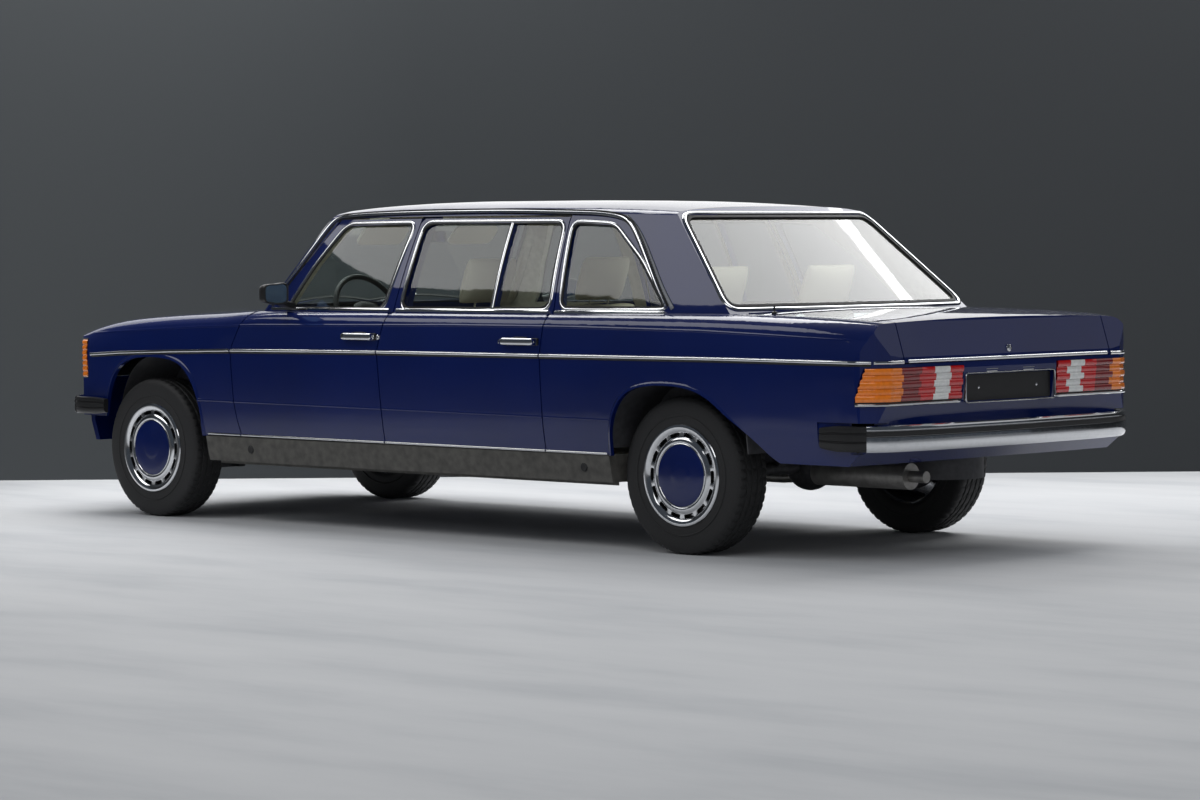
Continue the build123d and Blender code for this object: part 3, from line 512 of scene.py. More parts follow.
# How far each shut line leans away from its middle height: (height, lean)
SHUT_LINES = {
    A_X: [(403, -52), (481, -30), (566, -14), (803, 0), (918, -57), (980, -103)],
    B_X: [(403, -28), (562, -20), (814, 0), (908, -24), (1002, -52)],
    C_X: [(403, -15), (538, -9), (813, 0), (913, -10), (1010, -21)],
}
# node, body, rear end, front end, whether it is a door
SIDE_PARTS = [
    ("front_wings", "body", A_X + GAP, 2352.0, False),
    ("front_door", "front_door", B_X + GAP, A_X - GAP, True),
    ("rear_door", "rear_door", C_X + GAP, B_X - GAP, True),
    ("quarter_panels", "body", -2566.0, C_X - GAP, False),
]
RUB_LINE = [
    (2371, 765), (2100, 779), (1700, 792), (1251, 803), (700, 808), (245, 811), (-780, 813), (-1817, 815),
    (-2600, 811),
]
SHOULDER = [
    (2340, 868), (2226, 875), (1856, 893), (1481, 909), (1058, 921), (775, 924), (-215, 934), (-890, 935),
    (-1694, 927), (-2494, 901),
]
LOWER = [(1520, 567), (800, 563), (0, 558), (-700, 553), (-1190, 549)]
SILL_LINE = [(1470, 411), (700, 410), (0, 409), (-700, 408), (-1160, 407)]
# name, line of (x, z), section, material, front end, rear end
LINES = [
    ("rub_strip", RUB_LINE, crowned(15, 7.5), chrome, 2352, -2574),
    ("rub_strip_foot", [(x, z - 11) for x, z in RUB_LINE], crowned(7, 4), black, 2345, -2574),
    ("shoulder_crease", SHOULDER, [(-8, -1.2), (-3, 1.1), (0, 1.7), (3, 1.1), (8, -1.2)], paint, 2340, -2480),
    ("lower_crease", LOWER, [(-7, -1.2), (-3, 1.0), (0, 1.6), (3, 1.0), (7, -1.2)], paint, 1500, -1180),
    ("sill_strip", SILL_LINE, crowned(11, 6), chrome, 1440, -1160),
]


def between(table, at):
    """Straight-line reading of a table of (place, value)."""
    rows = sorted(table)
    for (a, first), (b, second) in zip(rows, rows[1:]):
        if a <= at <= b:
            return first + (second - first) * (at - a) / (b - a)
    return rows[0][1] if at < rows[0][0] else rows[-1][1]


for sname, sign in SIDES:
    for node, body, x0, x1, door in SIDE_PARTS:
        tree = tree_of(f"{node}_{sname}" if door else node)
        for line, points, profile, mat, front, back in LINES:
            lo, hi = x0, x1
            for edge, lean in SHUT_LINES.items():
                if abs(x0 - edge - GAP) < 0.1:
                    lo = x0 + between(lean, between(points, x0)) + 1
                if abs(x1 - edge + GAP) < 0.1:
                    hi = x1 + between(lean, between(points, x1)) - 1
            lo, hi = max(lo, back), min(hi, front)
            if hi - lo < 40:
                continue
            xs = spread(lo, hi, max(2, round((hi - lo) / 28)))
            path, normals = side_path(tree, [(x, between(points, x)) for x in xs], sign)
            piece = Mesh().run(path, normals, profile, mat)
            piece.done(f"{line}_{node}_{sname}", f"{body}_{sname}" if door else "body")

# ------------------------------------------------------------------ window frames
FRONT_WINDOW = [(918, 1001), (266, 1004), (209, 1377), (668, 1373), (806, 1192)]
REAR_WINDOW = [(148, 1006), (-767, 1012), (-722, 1376), (137, 1379)]
QUARTER_WINDOW = [(-840, 1016), (-1417, 1018), (-1228, 1207), (-1014, 1363), (-777, 1375)]
RAIL = [
    (1066, 1001), (1046, 1022), (898, 1214), (771, 1398), (700, 1412), (560, 1421), (195, 1427), (-312, 1427),
    (-682, 1420), (-927, 1412), (-1040, 1396), (-1101, 1372), (-1180, 1300), (-1265, 1206), (-1350, 1105),
    (-1434, 1012),
]
RAIL_SECTION = [(-7, -4), (-7, 9), (-5, 13), (2, 14), (6, 12), (7, 8), (7, -4)]
SEAL_SECTION = [(-7, -3), (-7, 2.5), (0, 3.5), (7, 2.5), (7, -3)]
BELT_SECTION = [(-10, -6), (-10, 8), (-6, 12), (4, 12), (9, 7), (9, -6)]
BELT_Z = 993.5


def window_trim(tree, outline, sign, name, body):
    """Chrome frame on the panel and the rubber seal inside it."""
    line = cut_even(rounded(grown(outline, 9), 46), 34, closed=True)
    path, normals = side_path(tree, line, sign, closed=True)
    frame_piece = Mesh().run(evened(path, True, 1), normals, crowned(15, 5), chrome, closed=True)
    frame_piece.done(f"{name}_chrome", body)
    centre = sum((Vector(p) for p in outline), Vector((0, 0))) / len(outline)
    path, normals = [], []
    for p in cut_even(rounded(grown(outline, 1.5), 40), 34, closed=True):
        q = p + (p - centre).normalized() * 7
        hit = flank(tree, q.x, q.y, sign)
        if hit:
            path.append(Vector((p.x, hit[0].y - sign, p.y)))
            normals.append(hit[1])
    normals = unit(evened(normals, True))
    Mesh().run(evened(path, True, 1), normals, SEAL_SECTION, seal, closed=True).done(f"{name}_seal", body)


rail_tree = tree_of("roof_panel", "roof_pillars")
for sname, sign in SIDES:
    front_door, rear_door = f"front_door_{sname}", f"rear_door_{sname}"
    front_tree, rear_tree = tree_of(front_door), tree_of(rear_door)
    window_trim(front_tree, FRONT_WINDOW, sign, f"front_window_{sname}", front_door)
    window_trim(rear_tree, REAR_WINDOW, sign, f"rear_window_{sname}", rear_door)
    window_trim(rail_tree, QUARTER_WINDOW, sign, f"quarter_window_{sname}", "body")
    # divider bar of the rear door
    divider = list(zip(spread(-428.5, -413.5, 8), spread(1010, 1376, 8)))
    path, normals = side_path(rear_tree, divider, sign, 1)
    bar = Mesh().run(path, normals, crowned(14, 6), chrome)
    bar.run(path, normals, flat_bar(11, -3, 2), seal).done(f"window_divider_{sname}", rear_door)
    # drip rail
    path, normals = side_path(rail_tree, spline(RAIL, 26), sign)
    path = evened(path)
    normals = unit([Vector((n.x, n.y, n.z * 0.35)) for n in unit(evened(normals, False, 3))])
    rail = Mesh().run(path, normals, RAIL_SECTION, chrome)
    rail.run(path, normals, flat_bar(15, -4, 3), seal).done(f"drip_rail_{sname}")
    # belt strip, one length per panel
    for name, tree, body, x0, x1 in (
        ("front_door", front_tree, front_door, 200, 1085), ("rear_door", rear_tree, rear_door, -795, 190),
        ("roof", tree_of("roof_pillars"), "body", -1440, -803),
    ):
        path, _ = side_path(tree, [(x, BELT_Z) for x in spread(x0, x1, 30)], sign)
        belt = Mesh().run(evened(path), Vector((0, sign, 0.25)).normalized(), BELT_SECTION, chrome)
        belt.done(f"belt_strip_{name}_{sname}", body)


# ------------------------------------------------------------------ windscreen and rear window surrounds
class Screen:
    """Curved screen face: x from (y, z), and its outward normal. low and top are its x at two heights."""

    LOW_Z, RISE, HALF = 900, 620, 1000

    def __init__(self, low, top, bow, way):
        self.low, self.slope, self.way = low, (top - low) / self.RISE, way
        self.r = (self.HALF ** 2 + bow * bow) / (2 * bow)

    def x(self, y, z):
        return self.low + self.slope * (z - self.LOW_Z) - self.way * (self.r - sqrt(self.r ** 2 - y * y))

    def normal(self, y):
        return Vector((self.way, y / self.r, -self.way * self.slope)).normalized()

    def frame(self, hole, by, radius, section, mat, name):
        line = cut_even(rounded(grown(hole, by), radius, steps=10), 40, closed=True)
        path = [Vector((self.x(p.x, p.y), p.x, p.y)) for p in line]
        Mesh().run(path, [self.normal(p.x) for p in line], section, mat, closed=True).done(name)


windscreen = Screen(1284, 781, 180, 1)
rear_screen = Screen(-1968, -1258, 147, -1)
FRONT_HOLE = [(-742, 1004), (742, 1004), (632, 1398), (-632, 1398)]
REAR_HOLE = [(-752, 1022), (752, 1022), (588, 1401), (-588, 1401)]
SCREEN_SEAL = [(-9, -6), (-9, 1.5), (-2, 3.5), (7, 3), (9, 0), (9, -6)]
for name, face, hole in (("windscreen", windscreen, FRONT_HOLE), ("rear_screen", rear_screen, REAR_HOLE)):
    face.frame(hole, 10, 62, crowned(19, 8), chrome, f"{name}_chrome")
    face.frame(hole, -5, 50, SCREEN_SEAL, seal, f"{name}_seal")

# ------------------------------------------------------------------ wheels: profiles of (radius, out)
WHEEL_Z, TYRE_R, TREAD_HALF = 328, 328, 78
TREAD_GROOVES = (-46, -16, 16, 46)
TYRE_WALL = [
    (315, 85), (308, 88.5), (296, 90.5), (280, 92), (262, 92.6), (252, 92.2), (250.5, 94.8), (248, 95.6),
    (245.5, 94.8), (244, 91.8), (228, 91), (222, 91.6), (216, 90.2), (209, 87.5), (203, 84), (198, 80),
    (193, 76),
]
COVER_RING = [
    (204, 80), (208.5, 83), (211.5, 87), (212, 91), (209.5, 94.4), (204.5, 96), (197, 95.8), (190, 93.8),
    (185, 91), (181.5, 88.2), (179.5, 86.2),
]
COVER_INNER = [
    (159.5, 85.6), (157.5, 87.0), (153, 90.6), (147, 92.8), (140, 93.4), (136, 92.4), (134, 91.2),
    (132.6, 92.6), (130.4, 93.2), (129, 91.6),
]
RIM_BARREL = [
    (192, 84), (192, -78), (198, -84), (200, -80), (194, -74), (188, -70), (186, -20), (176, 10), (170, 60),
    (120, 70), (60, 58), (45, 56), (45, -34), (21, -34), (21, 44), (0.01, 44),
]
HUB_DOME = [
    (129.2, 90.4), (127.5, 92.4), (120, 93.6), (100, 94.8), (78, 95.6), (56, 96.2), (50, 96.5), (48, 96.8),
    (30, 97.1), (12, 97.3), (0.01, 97.3),
]
BRAKE = [
    (128, -34), (134, -30), (134, -22), (128, -18), (70, -18), (66, -14), (62, -10), (22, -10), (22, -34),
]
SLOTS, SLOT_POINTS, SLOT_R = 14, 32, 169.8


def tread_point(t):
    deep = 6 if any(abs(t - g) <= 2 for g in TREAD_GROOVES) else 0
    return TYRE_R - deep - max(0.0, (abs(t) - 62) / 16) ** 2 * 5, float(t)


TREAD = [tread_point(t) for t in range(-TREAD_HALF, TREAD_HALF + 1, 3)]
TYRE = [(r, -t) for r, t in reversed(TYRE_WALL)] + TREAD + TYRE_WALL + [(192, 40), (192, -40)]


def tread_blocks(i, j):
    """How far the cuts of the tread lower ring point j at step i of the turn."""
    j -= len(TYRE_WALL)
    if not 0 <= j < len(TREAD):
        return -2.6 if j in (-1, len(TREAD)) and i % 4 == 0 else 0.0
    t = TREAD[j][1]
    row = int((t + TREAD_HALF) // 31)
    if abs(t) > 50:
        return -5.0 if (i + row) % 4 == 0 else 0.0
    return -3.6 if (i + row * 2 + int(abs(t) // 9)) % 6 == 0 else 0.0


def wheel(end, sname, x, y, sign):
    body = f"wheel_{end}_{sname}"

    def placed(verts):
        return [(x + sign * a, y + sign * t, WHEEL_Z + u) for a, t, u in verts]

    def turn(piece, profile, count, mat, **options):
        verts, faces = lathe(profile, count, **options)
        piece.add(placed(verts), faces, mat)

    tyre = Mesh()
    turn(tyre, TYRE, 216, rubber, closed_profile=True, twist=tread_blocks)
    obj = tyre.done(f"tyre_mesh_{end}_{sname}", body, angle=32)
    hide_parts(f"tyre_{end}_{sname}")

    # disc cover: wide rolled rim, band with fourteen slots, dished inner band, painted dome
    cover = Mesh()
    turn(cover, COVER_RING, 168, chrome)
    step = 2 * pi / SLOTS
    for k in range(SLOTS):
        hole, cell = [], []
        for c, s in rod(1, SLOT_POINTS):
            far = max(abs(c), abs(s))
            hole.append((SLOT_R + 8.8 * squared(s, 0.36), step * (k + 0.345 * squared(c, 0.36))))
            cell.append((SLOT_R + 11.5 * s / far, step * (k + 0.5 * c / far)))
        loops = [(cell, 86.2), (hole, 85.4), (hole, 83.0), (hole, 60.0)]
        verts = placed([(r * cos(a), t, r * sin(a)) for edge, t in loops for r, a in edge])
        walls = grid(4, SLOT_POINTS, ring=True)
        cover.add(verts, walls[:2 * SLOT_POINTS], chrome)
        cover.add(verts, [*walls[2 * SLOT_POINTS:], tuple(range(3 * SLOT_POINTS, 4 * SLOT_POINTS))], seal)
    turn(cover, COVER_INNER, 168, chrome)
    turn(cover, RIM_BARREL, 72, satin_steel)
    turn(cover, [(205, 81), (192, 78)], 168, chrome)
    turn(cover, HUB_DOME, 84, paint)
    obj = cover.done(f"wheel_cover_{end}_{sname}", body, angle=30, slot="wheel_metal")
    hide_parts(f"rim_{end}_{sname}")
    brake = Mesh()
    turn(brake, BRAKE, 60, cast, closed_profile=True)
    brake.done(f"brake_{end}_{sname}", body)


for end, wx, wy in (("front", 1892.5, 744.0), ("rear", -1532.5, 723.0)):
    for sname, sign in SIDES:
        wheel(end, sname, wx, sign * wy, sign)


# ------------------------------------------------------------------ bumpers
def plan_sweep(path, section, size_at=lambda i: 1.0):
    """Section of (out, z) run along a plan path of (x, y); size_at shrinks it from point to point."""
    n, m = len(path), len(section)
    mid = sum(z for _, z in section) / m
    verts = []
    for i, p in enumerate(path):
        t = (path[min(i + 1, n - 1)] - path[max(i - 1, 0)]).normalized()
        out = Vector((t.y, -t.x))
        if out.dot(p) < 0:
            out = -out
        k = size_at(i)
        for q, z in section:
            place = p + out * (q - (1 - k) * 14)
            verts.append((place.x, place.y, mid + (z - mid) * (0.55 + 0.45 * k)))
    return verts, grid(n, m, ring=True) + caps(n, m)


# Sections of (out, share of the height down from the top)
BUMPER_BAR = [
    (-26, 0), (-12, 0), (-5, 0.04), (-2.5, 0.10), (-3, 0.19), (-10, 0.21), (-10, 0.42), (-2, 0.44),
    (-0.5, 0.62), (-1.5, 0.8), (-6, 0.93), (-13, 1), (-26, 1),
]
BUMPER_INSERT = [(-11, 0.215), (-4.5, 0.235), (-3.5, 0.315), (-4.5, 0.395), (-11, 0.415)]
BUMPER_END = [
    (-3, 0.05), (-0.5, 0.16), (-1, 0.25), (-5, 0.28), (-5, 0.31), (-0.5, 0.34), (0, 0.48), (-0.5, 0.58),
    (-5, 0.61), (-5, 0.64), (-1, 0.67), (-1.5, 0.82), (-6, 0.92),
]


def bumper_piece(name, half, low, top, cap_x, way):
    """Chrome bar with a black rubber insert and ribbed rubber ends. half is the left half of the plan."""
    whole = [Vector((way * x, y)) for x, y in half]
    whole += [Vector((p.x, -p.y)) for p in reversed(whole[:-1])]
    line = cut_even(rounded(whole, 60, closed=False, steps=5), 30)
    bar, insert, ribbed = (
        [(out, top - share * (top - low)) for out, share in rows]
        for rows in (BUMPER_BAR, BUMPER_INSERT, BUMPER_END)
    )
    end = [(-26, top - 2), (-10, top - 2), *ribbed, (-13, low + 2), (-26, low + 2)]
    ahead = [p for p in line if way * p.x > cap_x]
    piece = Mesh().add(*plan_sweep(ahead, bar), chrome)
    piece.add(*plan_sweep(ahead, insert), rubber)
    obj = piece.done(f"{name}_bar", angle=28)
    for sname, sign in SIDES:
        # each end runs from the chrome to its tip, and is drawn in over its last rings
        tail = [p for p in line if way * p.x <= cap_x + 8 and sign * p.y > 0]
        if sign > 0:
            tail = tail[::-1]
        eased = len(tail) - 4
        swept = plan_sweep(tail, end, lambda i: sqrt(max(0.0, 1 - max(0, i - eased) / 4.4)))
        Mesh().add(*swept, black).done(f"{name}_end_{sname}", angle=28)
    return obj


FRONT_PLAN = [(2199, 888), (2410, 880), (2518, 826), (2600, 692), (2654, 420), (2677.5, 0)]
REAR_PLAN = [(2345, 893), (2500, 890), (2572, 851), (2632, 740), (2664, 500), (2677.5, 0)]
front_bar = bumper_piece("front_bumper", FRONT_PLAN, 478, 562, 2440, 1)
rear_bar = bumper_piece("rear_bumper", REAR_PLAN, 459, 565, 2560, -1)
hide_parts("front_bumper")
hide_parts("rear_bumper")

# ------------------------------------------------------------------ tail lamps
TAIL_LOW, TAIL_HIGH, TAIL_BANDS = 655.0, 790.0, 5
CORNER_X, CORNER_Y = -2512, 713


def rear_wrap(tree, z, y0, front_x):
    """Points and normals along the left rear corner, from y0 outwards and forwards to front_x."""
    rays = [((-3300, y, z), (1, 0, 0)) for y in spread(y0, CORNER_Y, 24)[:-1]]
    for a in (radians(3 * k) for k in range(31)):
        rays.append(((CORNER_X - 600 * cos(a), CORNER_Y + 600 * sin(a), z), (cos(a), -sin(a), 0)))
    out = []
    for origin, direction in rays:
        hit = meet(tree, origin, direction)
        if hit and (not out or (hit[0] - out[-1][0]).length < 90):
            if hit[0].x > front_x:
                break
            out.append(hit)
    return out


def wrap_line(tree, z, y0, front_x, sign, reach):
    """The same as an evened path with its normals, on either side."""
    corner = rear_wrap(tree, z, y0, front_x)
    path = [p for p, _ in corner]
    normals = unit(evened([n for _, n in corner]))
    return on_side(sign, evened(path, False, reach) if reach else path), on_side(sign, normals)


def by_length(points, lengths, wanted):
    """Places and normals at the wanted lengths along a line of (place, normal)."""
    out = []
    for s in wanted:
        k = max(i for i, v in enumerate(lengths[:-1]) if v <= s + 1e-6)
        t = (s - lengths[k]) / max(1e-6, lengths[k + 1] - lengths[k])
        (p0, n0), (p1, n1) = points[k], points[k + 1]
        out.append((p0.lerp(p1, t), n0.lerp(n1, t).normalized()))
    return out


def lens_colour(length, k):
    """Colour at a length from the inner end of the lamp, in band k."""
    shift = 9 if k % 2 == 0 else -9
    edges = (78 + shift, 178 + shift, 270 - shift * 0.4, 376 + shift)
    for edge, mat in zip(edges, (red, white_lens, red, dark_red)):
        if length < edge:
            return mat
    return amber


lamp_tree = tree_of("tail_lamps")
height = (TAIL_HIGH - TAIL_LOW) / TAIL_BANDS
even_part = [2.0, *[8.0 * k for k in range(1, 50)]]
lens_rows = []
for k in range(TAIL_BANDS):
    step_out = 5.5 if k % 2 == 0 else 0.5
    for dz, extra in ((1.4, -1.5), (5.0, 0.6), (height / 2, 1.2), (height - 5.0, 0.6), (height - 1.4, -1.5)):
        z = TAIL_LOW + height * k + dz
        wrap = rear_wrap(lamp_tree, z, 309, CORNER_X - 34 * (z - TAIL_LOW) / (TAIL_HIGH - TAIL_LOW))
        lengths = [0.0]
        for (a, _), (b, _) in zip(wrap, wrap[1:]):
            lengths.append(lengths[-1] + (b - a).length)
        line = by_length(wrap, lengths, even_part + spread(even_part[-1], lengths[-1] - 2, 32)[1:])
        lens_rows.append(([p + n * (step_out + extra) for p, n in line], [p - n * 16 for p, n in line], k))
lens = Mesh()
for (near, _, _), (far, _, k) in zip(lens_rows, lens_rows[1:]):
    for j in range(len(near) - 1):
        mid = even_part[j] + 4 if j < len(even_part) - 1 else 430
        lens.both([near[j], near[j + 1], far[j + 1], far[j]], [(0, 1, 2, 3)], lens_colour(mid, k))


def lens_edge(face):
    """Loop round the lens: face 0 is its front, 1 its back."""
    rows = [row[face] for row in lens_rows]
    return rows[0] + [r[-1] for r in rows[1:]] + rows[-1][-2::-1] + [r[0] for r in rows[-2:0:-1]]


border = lens_edge(0)
lens.both([*border, *lens_edge(1)], band(len(border)), dark_red)
tail = lens.done("tail_lamp_lenses", angle=30, slot="lamp_red")
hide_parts("tail_lamps")

for sname, sign in SIDES:
    # bright strip and black gasket under each lamp
    path, normals = wrap_line(tree_of("rear_panel", "quarter_panels"), 645, 302, -2492, sign, 1)
    Mesh().run(path, normals, crowned(13, 9), chrome, taper=2).done(f"lamp_strip_{sname}", "body")
    gasket = [(p.x, p.y, 653) for p in path]
    Mesh().run(gasket, normals, flat_bar(3, -3, 3), seal).done(f"lamp_gasket_{sname}", "body")

# strip along the lower edge of the boot lid
lid_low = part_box("boot_lid")[0].z * 1000
lid_tree = tree_of("boot_lid")
hits = [meet(lid_tree, (-3200, y, lid_low + 4), (1, 0, 0)) for y in spread(-670, 670, 48)]
path = evened([h[0] for h in hits if h])
strip = Mesh().run(path, Vector((-1, 0, 0.12)).normalized(), crowned(15, 8), chrome)
strip.done("boot_lid_strip", "boot_lid", slot="bright_trim")
for sname, sign in SIDES:
    # side strip carried round the corner
    path, normals = wrap_line(tree_of("quarter_panels"), 811, 680, -2570, sign, 0)
    Mesh().run(path, normals, crowned(15, 7.5), chrome).done(f"rub_strip_corner_{sname}", "body")

# number plate recess: black blank plate in a thin bright frame
FACE_X, FRAME_X = -2592.0, -2611.0
plate = Mesh()
outline = rounded(rect(-286, 286, 644, 748), 12)
plate.plate(*([(FACE_X - proud, p.x, p.y) for p in outline] for proud in (2.5, 0.2)), black, "near")
outline = cut_even(rounded(rect(-293, 293, 637, 755), 16), 30, closed=True)
plate.run([(FRAME_X, p.x, p.y) for p in outline], ASTERN, crowned(6, 6), chrome, closed=True)
for y in (-190, 190):
    plate.turned([(0.01, 5), (4, 4.6), (6, 3), (6.5, 0)], 20, chrome, (FACE_X - 2.5, y, 696), ASTERN)
plate.done("number_plate_recess", slot="black_trim")

# boot lock and plate lamps
LOCK = [(0.01, 6), (7, 6), (8, 5), (9, 4.2), (13, 3.4), (15, 1.5), (15.5, -3)]
Mesh().turned(LOCK, 40, chrome, (-2604, 0, 850), ASTERN).done("boot_lock", "boot_lid")
lamps = Mesh()
for y in (-120, 120):
    lamps.box(-2611, -2594, y - 34, y + 34, 757, 768, white_lens)
    lamps.box(-2612, -2600, y - 38, y + 38, 768, 772, chrome)
lamps.done("plate_lamps", slot="lamp_clear")

# ------------------------------------------------------------------ front lamps and grille
LAMP_IN, LAMP_OUT, LAMP_LOW, LAMP_TOP = 308, 734, 658, 834
FLUTES, FLUTE_ROWS = 94, 10
BOWL_X, BOWL_Z = 2398, 746
BULB = [(0.01, 36), (6, 34), (9, 28), (9, 18), (7, 10), (7, 0)]


def lamp_x(y, z):
    """Face of the head lamp, leaning back with height and swept back at its outer end."""
    return 2478 - (z - LAMP_LOW) * 0.17 - max(0, abs(y) - 640) * 0.28


head = Mesh()
for sign in (1, -1):
    outline = rounded(rect(sign * LAMP_IN, sign * LAMP_OUT, LAMP_LOW, LAMP_TOP), 26)
    path = [(lamp_x(p.x, p.y), p.x, p.y) for p in cut_even(outline, 26, closed=True)]
    head.run(path, Vector((1, 0, 0.17)).normalized(), crowned(15, 9), chrome, closed=True)
    # fluted glass
    verts = [
        (lamp_x(y, z) + (1.3 if j % 2 else 0), sign * y, z)
        for z in spread(662, 830, FLUTE_ROWS) for j, y in enumerate(spread(312, 730, FLUTES))
    ]
    head.add(verts, grid(FLUTE_ROWS + 1, FLUTES + 1), clear_glass)
    # box behind the glass
    for x0, x1, y0, y1, z0, z1 in (
        (2392, 2396, LAMP_IN, LAMP_OUT, 656, 836), (2394, 2464, 306, 310, 656, 836),
        (2394, 2452, 732, 736, 656, 836), (2394, 2470, LAMP_IN, LAMP_OUT, 654, 658),
        (2394, 2446, LAMP_IN, LAMP_OUT, 832, 836),
    ):
        head.box(x0, x1, sign * y0, sign * y1, z0, z1, black)
    for cy, r in ((628, 82), (428, 72)):
        centre = (BOWL_X, sign * cy, BOWL_Z)
        bowl = [(r, 44), (r * 0.98, 40), (r * 0.86, 26), (r * 0.66, 12), (r * 0.4, 3), (r * 0.16, 0)]
        head.turned(bowl, 56, reflector, centre, AHEAD)
        rim = [(r + 8, 40), (r + 8, 46), (r + 3, 50), (r - 1, 48), (r - 1, 42)]
        head.turned(rim, 56, chrome, centre, AHEAD, closed_profile=True)
        head.turned(BULB, 24, white_lens, centre, AHEAD)
head_obj = head.done("head_lamps", slot="lamp_clear")
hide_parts("front_lamps")

# amber corner lamps, ribbed, wrapped round the wings
corner_tree = tree_of("front_lamps")
cells = []
for k in range(7):
    for dz, out in ((0.953, 0.0), (5.72, 3.6), (12.393, 4.4), (19.067, 3.6), (24.215, 0.0)):
        z = 654 + 26 * k + dz
        ring = []
        for a in map(radians, spread(-6, 94, 26)):
            hit = meet(corner_tree, (2395 + 600 * cos(a), 735 + 600 * sin(a), z), (-cos(a), -sin(a), 0))
            if hit and hit[0].y > 741 and hit[0].x > 2384:
                ring.append(hit[0] + hit[1] * out)
        cells.append(ring)
width = min(len(r) for r in cells)
even = [ring[round(j * (len(ring) - 1) / (width - 1))] for ring in cells for j in range(width)]
corner_mesh = Mesh().both(even, grid(len(cells), width), amber)
corner_mesh.both(*box_mesh(2388, 2420, 743, 800, 652, 840), sealed)
corner_obj = corner_mesh.done("corner_lamps", slot="lamp_clear", angle=30)
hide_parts("front_lamps")

GRILLE_NOSE, GRILLE_LOW, GRILLE_LEAN = 2516, 590, 0.12
MOUTH_HALF, MOUTH_LOW, MOUTH_TOP = 262, 620, 818
SHELL = [(-12, -46), (-12, -4), (-9, 1), (-4, 3.4), (2, 3.8), (8, 2.6), (11.5, -2), (12.5, -10), (12.5, -58)]
grille_normal = Vector((1, 0, GRILLE_LEAN)).normalized()


def on_grille(y, z, back):
    """Point a little behind the front of the leaning shell."""
    return Vector((GRILLE_NOSE - (z - GRILLE_LOW) * GRILLE_LEAN - back, y, z))


# chrome shell, rounded over from its side to its mouth
shell_line = cut_even(rounded(rect(-273, 273, 605, 830), 22), 26, closed=True)
grille = Mesh().run([on_grille(p.x, p.y, 4) for p in shell_line], grille_normal, SHELL, chrome, closed=True)
for k in range(9):
    z = MOUTH_LOW + (MOUTH_TOP - MOUTH_LOW) * (k + 0.5) / 9
    slat = [on_grille(y, z, 24) for y in spread(-MOUTH_HALF, MOUTH_HALF, 4)]
    grille.run(slat, AHEAD, crowned(6, 8), satin_steel)
for k in range(-19, 20):
    grille.run([on_grille(13.4 * k, z, 30) for z in (612, 680, 760, 826)], AHEAD, flat_bar(1.2, -8, 3), black)
grille.run([on_grille(0, z, 12) for z in (610, 680, 760, 828)], grille_normal, crowned(16, 12), chrome)
grille.add([on_grille(y, z, 58) for y, z in rect(-268, 268, 604, 832)], [(0, 1, 2, 3)], seal)
# painted panel round the shell
for sign in (1, -1):
    grille.add([on_grille(sign * y, z, 40) for y, z in rect(282, 295, 592, 841)], [(0, 1, 2, 3)], paint)
grille_obj = grille.done("grille_shell", slot="bright_trim")
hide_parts("grille")

# ------------------------------------------------------------------ handles, mirrors, small outside parts
SKIN_Y = 884.0
OVAL = [(15.2 * squared(c, 0.7), 8.6 * squared(s, 0.7)) for c, s in rod(1, 20)]
HANDLE_FOOT = [(-15, -3), (-15, 3), (-12, 5), (12, 5), (15, 3), (15, -3)]
KEY_LOCK = [(0.01, 4), (6, 4), (7, 3), (9, 2.5), (11, 0), (11, -4)]
MIRROR_Z, MIRROR_HALF, MIRROR_IN = 1068.0, 50.0, 866.0
MIRROR_RINGS = (
    (851, 0.96), (854, 1.0), (870, 1.0), (885, 0.97), (900, 0.88), (909, 0.74), (915, 0.5), (917, 0.2),
)
MIRROR_POINTS = 40
STALK = [(-22, -14), (-22, 8), (-14, 15), (14, 15), (22, 8), (22, -14)]
STALK_LINE = [(905, 800, 1012), (903, 840, 1018), (895, 872, 1026), (890, 900, 1040)]
VENT_LINE = [(-1062, 1398), (-1128, 1358), (-1206, 1290), (-1292, 1196), (-1378, 1098), (-1462, 1012)]
